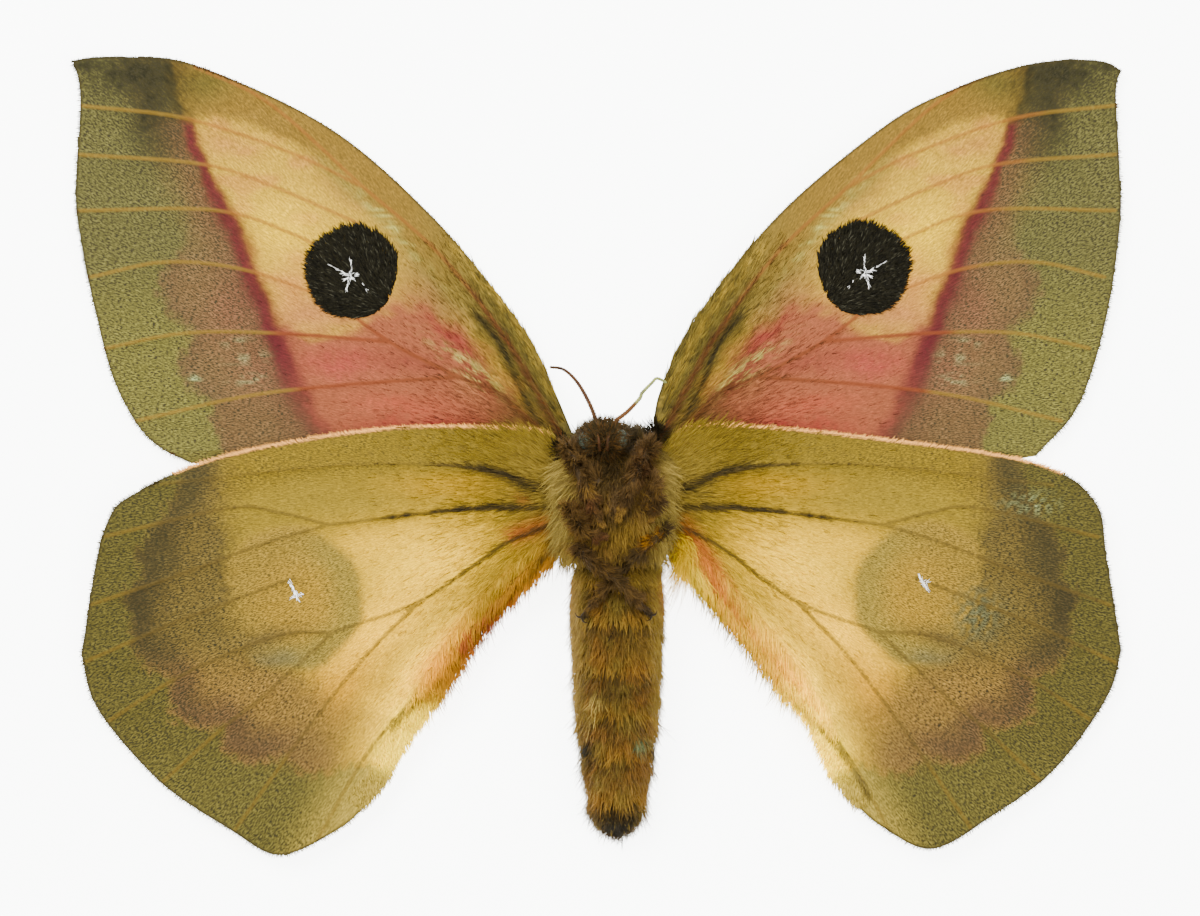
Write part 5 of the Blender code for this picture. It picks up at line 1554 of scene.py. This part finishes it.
HEM_HAIRS = 7000
PUPIL_RAYS = {
    "right": [((0.6, 1.1), (0.1, 0.2), 14), ((0.3, 0.6), (-0.3, -0.7), 34), ((-0.1, -0.1), (-0.5, -1.3), 18),
              ((-0.2, -0.4), (-1.3, -0.7), 8), ((-0.3, -0.6), (0.4, -1.0), 8)],
    "left": [((0.6, -1.0), (0.1, -0.2), 22), ((0.3, -0.5), (-0.4, 0.7), 34), ((-0.3, 0.3), (-0.5, 1.0), 12),
             ((-0.1, 0.0), (0.9, 0.5), 6)],
}
PUPIL_PLACES = {"right": (36.3, -10.2), "left": (35.3, -9.5)}
for side, middle in PUPIL_PLACES.items():
    shine("hindwing_" + side + "_pupil", "hindwing_" + side, PUPIL_RAYS[side], middle, 0.1)

for side in OUT:
    rng = np.random.default_rng(95)
    wing = "hindwing_" + side
    hem = curve(RIMS[wing][2], 0.1)
    hem = hem[hem[:, 0] > 6.2]
    way = np.gradient(hem, axis=0)
    way /= np.linalg.norm(way, axis=1)[:, None]
    away = np.column_stack([-way[:, 1], way[:, 0]])
    pick = rng.integers(0, len(hem), HEM_HAIRS)
    short = rise(hem[pick, 0], 17.0, 25.0)
    deep = rng.uniform(0.0, 2.6, HEM_HAIRS)
    flat = hem[pick] - away[pick] * deep[:, None]
    ways = away[pick] * 0.62 - way[pick] * 0.78
    long = rng.uniform(1.6, 3.0, HEM_HAIRS) * (1.0 if side == "right" else 1.35) * (1.0 - 0.65 * short)
    glow = (1.05 if side == "right" else 1.25) + 0.25 * short
    tints = wing_tints(wing, flat) * rng.uniform(0.8, 1.25, (HEM_HAIRS, 1)) * glow[:, None]
    widths = rng.uniform(0.08, 0.15, HEM_HAIRS)
    lifts = rng.uniform(0.05, 0.3, HEM_HAIRS)
    wing_coat(wing + "_hem_hair", wing, 96, flat, ways, long, widths, lifts, tints)

rng = np.random.default_rng(97)
CURL_HAIRS = 640
flat = np.column_stack([rng.uniform(6.4, 7.8, CURL_HAIRS), rng.uniform(-5.6, -3.6, CURL_HAIRS)])
ways = np.tile((0.82, -0.66), (CURL_HAIRS, 1)) + rng.normal(0.0, 0.2, (CURL_HAIRS, 2))
roots = on_wing("hindwing_left", flat)
ways = np.column_stack([ways, rng.uniform(0.1, 0.45, CURL_HAIRS)])
bends = np.tile((-0.85, -0.25, -0.2), (CURL_HAIRS, 1)) + rng.normal(0.0, 0.18, (CURL_HAIRS, 3))
tints = np.tile(linear((252, 230, 166)), (CURL_HAIRS, 1)) * rng.uniform(0.8, 1.2, (CURL_HAIRS, 1))
tints[rng.uniform(0.0, 1.0, CURL_HAIRS) < 0.2] = linear((222, 180, 110))
outs = np.tile((0.0, 0.0, 1.0), (CURL_HAIRS, 1))
lengths, widths = rng.uniform(3.6, 7.4, CURL_HAIRS), rng.uniform(0.07, 0.13, CURL_HAIRS)
shape = (roots, outs, ways, lengths, widths, bends)
coat("hindwing_left_curl", *shape, tints, unrolled_wing(roots), soft_hair, "hindwing", LONG_TUFT)

SHOULDER_HAIRS = 380
SHOULDERS = {"right": (5.7, 5.8), "left": (4.7, 7.6)}
for side, middle in SHOULDERS.items():
    rng = np.random.default_rng(98)
    flat = rng.normal(0.0, 0.36, (SHOULDER_HAIRS, 2)) + middle
    roots = on_wing("forewing_" + side, flat) + [0.0, 0.0, 0.6]
    ways = np.column_stack([flat - middle, np.full(SHOULDER_HAIRS, 1.2)]) * [OUT[side], 1.0, 1.0]
    ways = ways + [0.0, 0.2, 0.0]
    outs = np.tile((0.0, 1.0, 0.0), (SHOULDER_HAIRS, 1))
    bends = rng.normal(0.0, 0.15, (SHOULDER_HAIRS, 3))
    tints = np.tile(linear((58, 46, 22)), (SHOULDER_HAIRS, 1)) * rng.uniform(0.5, 1.8, (SHOULDER_HAIRS, 1))
    lengths, widths = rng.uniform(1.4, 2.4, SHOULDER_HAIRS), rng.uniform(0.08, 0.15, SHOULDER_HAIRS)
    shape = (roots, outs, ways, lengths, widths, bends)
    label = "shoulder_" + side + "_tuft"
    coat(label, *shape, tints, unrolled_wing(roots), soft_hair, "brown_fur", LONG_TUFT)

# The place where it lies
# A pale plain surface under soft, wide studio light, seen straight from above.
bpy.ops.object.select_all(action="DESELECT")
bpy.ops.mesh.primitive_plane_add(size=3.0)
floor = bpy.context.object
floor.name = "floor"
floor_finish, floor_shader, _ = finish_named("pale_floor", 0.9, 0.2)
floor_shader.inputs["Base Color"].default_value = (0.86, 0.87, 0.85, 1.0)
floor_shader.inputs["Emission Color"].default_value = (0.97, 1.0, 0.97, 1.0)
floor_shader.inputs["Emission Strength"].default_value = 7.0
floor.data.materials.append(floor_finish)

world = bpy.data.worlds.new("studio")
bpy.context.scene.world = world
world.use_nodes = True
world.node_tree.nodes["Background"].inputs["Color"].default_value = (1.0, 1.0, 1.0, 1.0)
world.node_tree.nodes["Background"].inputs["Strength"].default_value = 1.17

LAMPS = [((-0.22, 0.3, 0.5), 0.35, 9.8), ((0.3, -0.1, 0.5), 0.4, 4.2)]
for place, size, power in LAMPS:
    bpy.ops.object.light_add(type="AREA", location=place)
    lamp = bpy.context.object
    lamp.data.size = size
    lamp.data.energy = power
    lamp.rotation_euler = (-Vector(place)).to_track_quat("-Z", "Y").to_euler()

VIEW_WIDTH = 0.1365
VIEW_DISTANCE = 0.56
VIEW_PLANE = 0.003
bpy.ops.object.camera_add(location=(-0.00148, 0.00478, VIEW_DISTANCE + VIEW_PLANE))
camera = bpy.context.object
camera.data.sensor_width = 36.0
camera.data.lens = 36.0 * VIEW_DISTANCE / VIEW_WIDTH
camera.data.clip_start = 0.01
bpy.context.scene.camera = camera
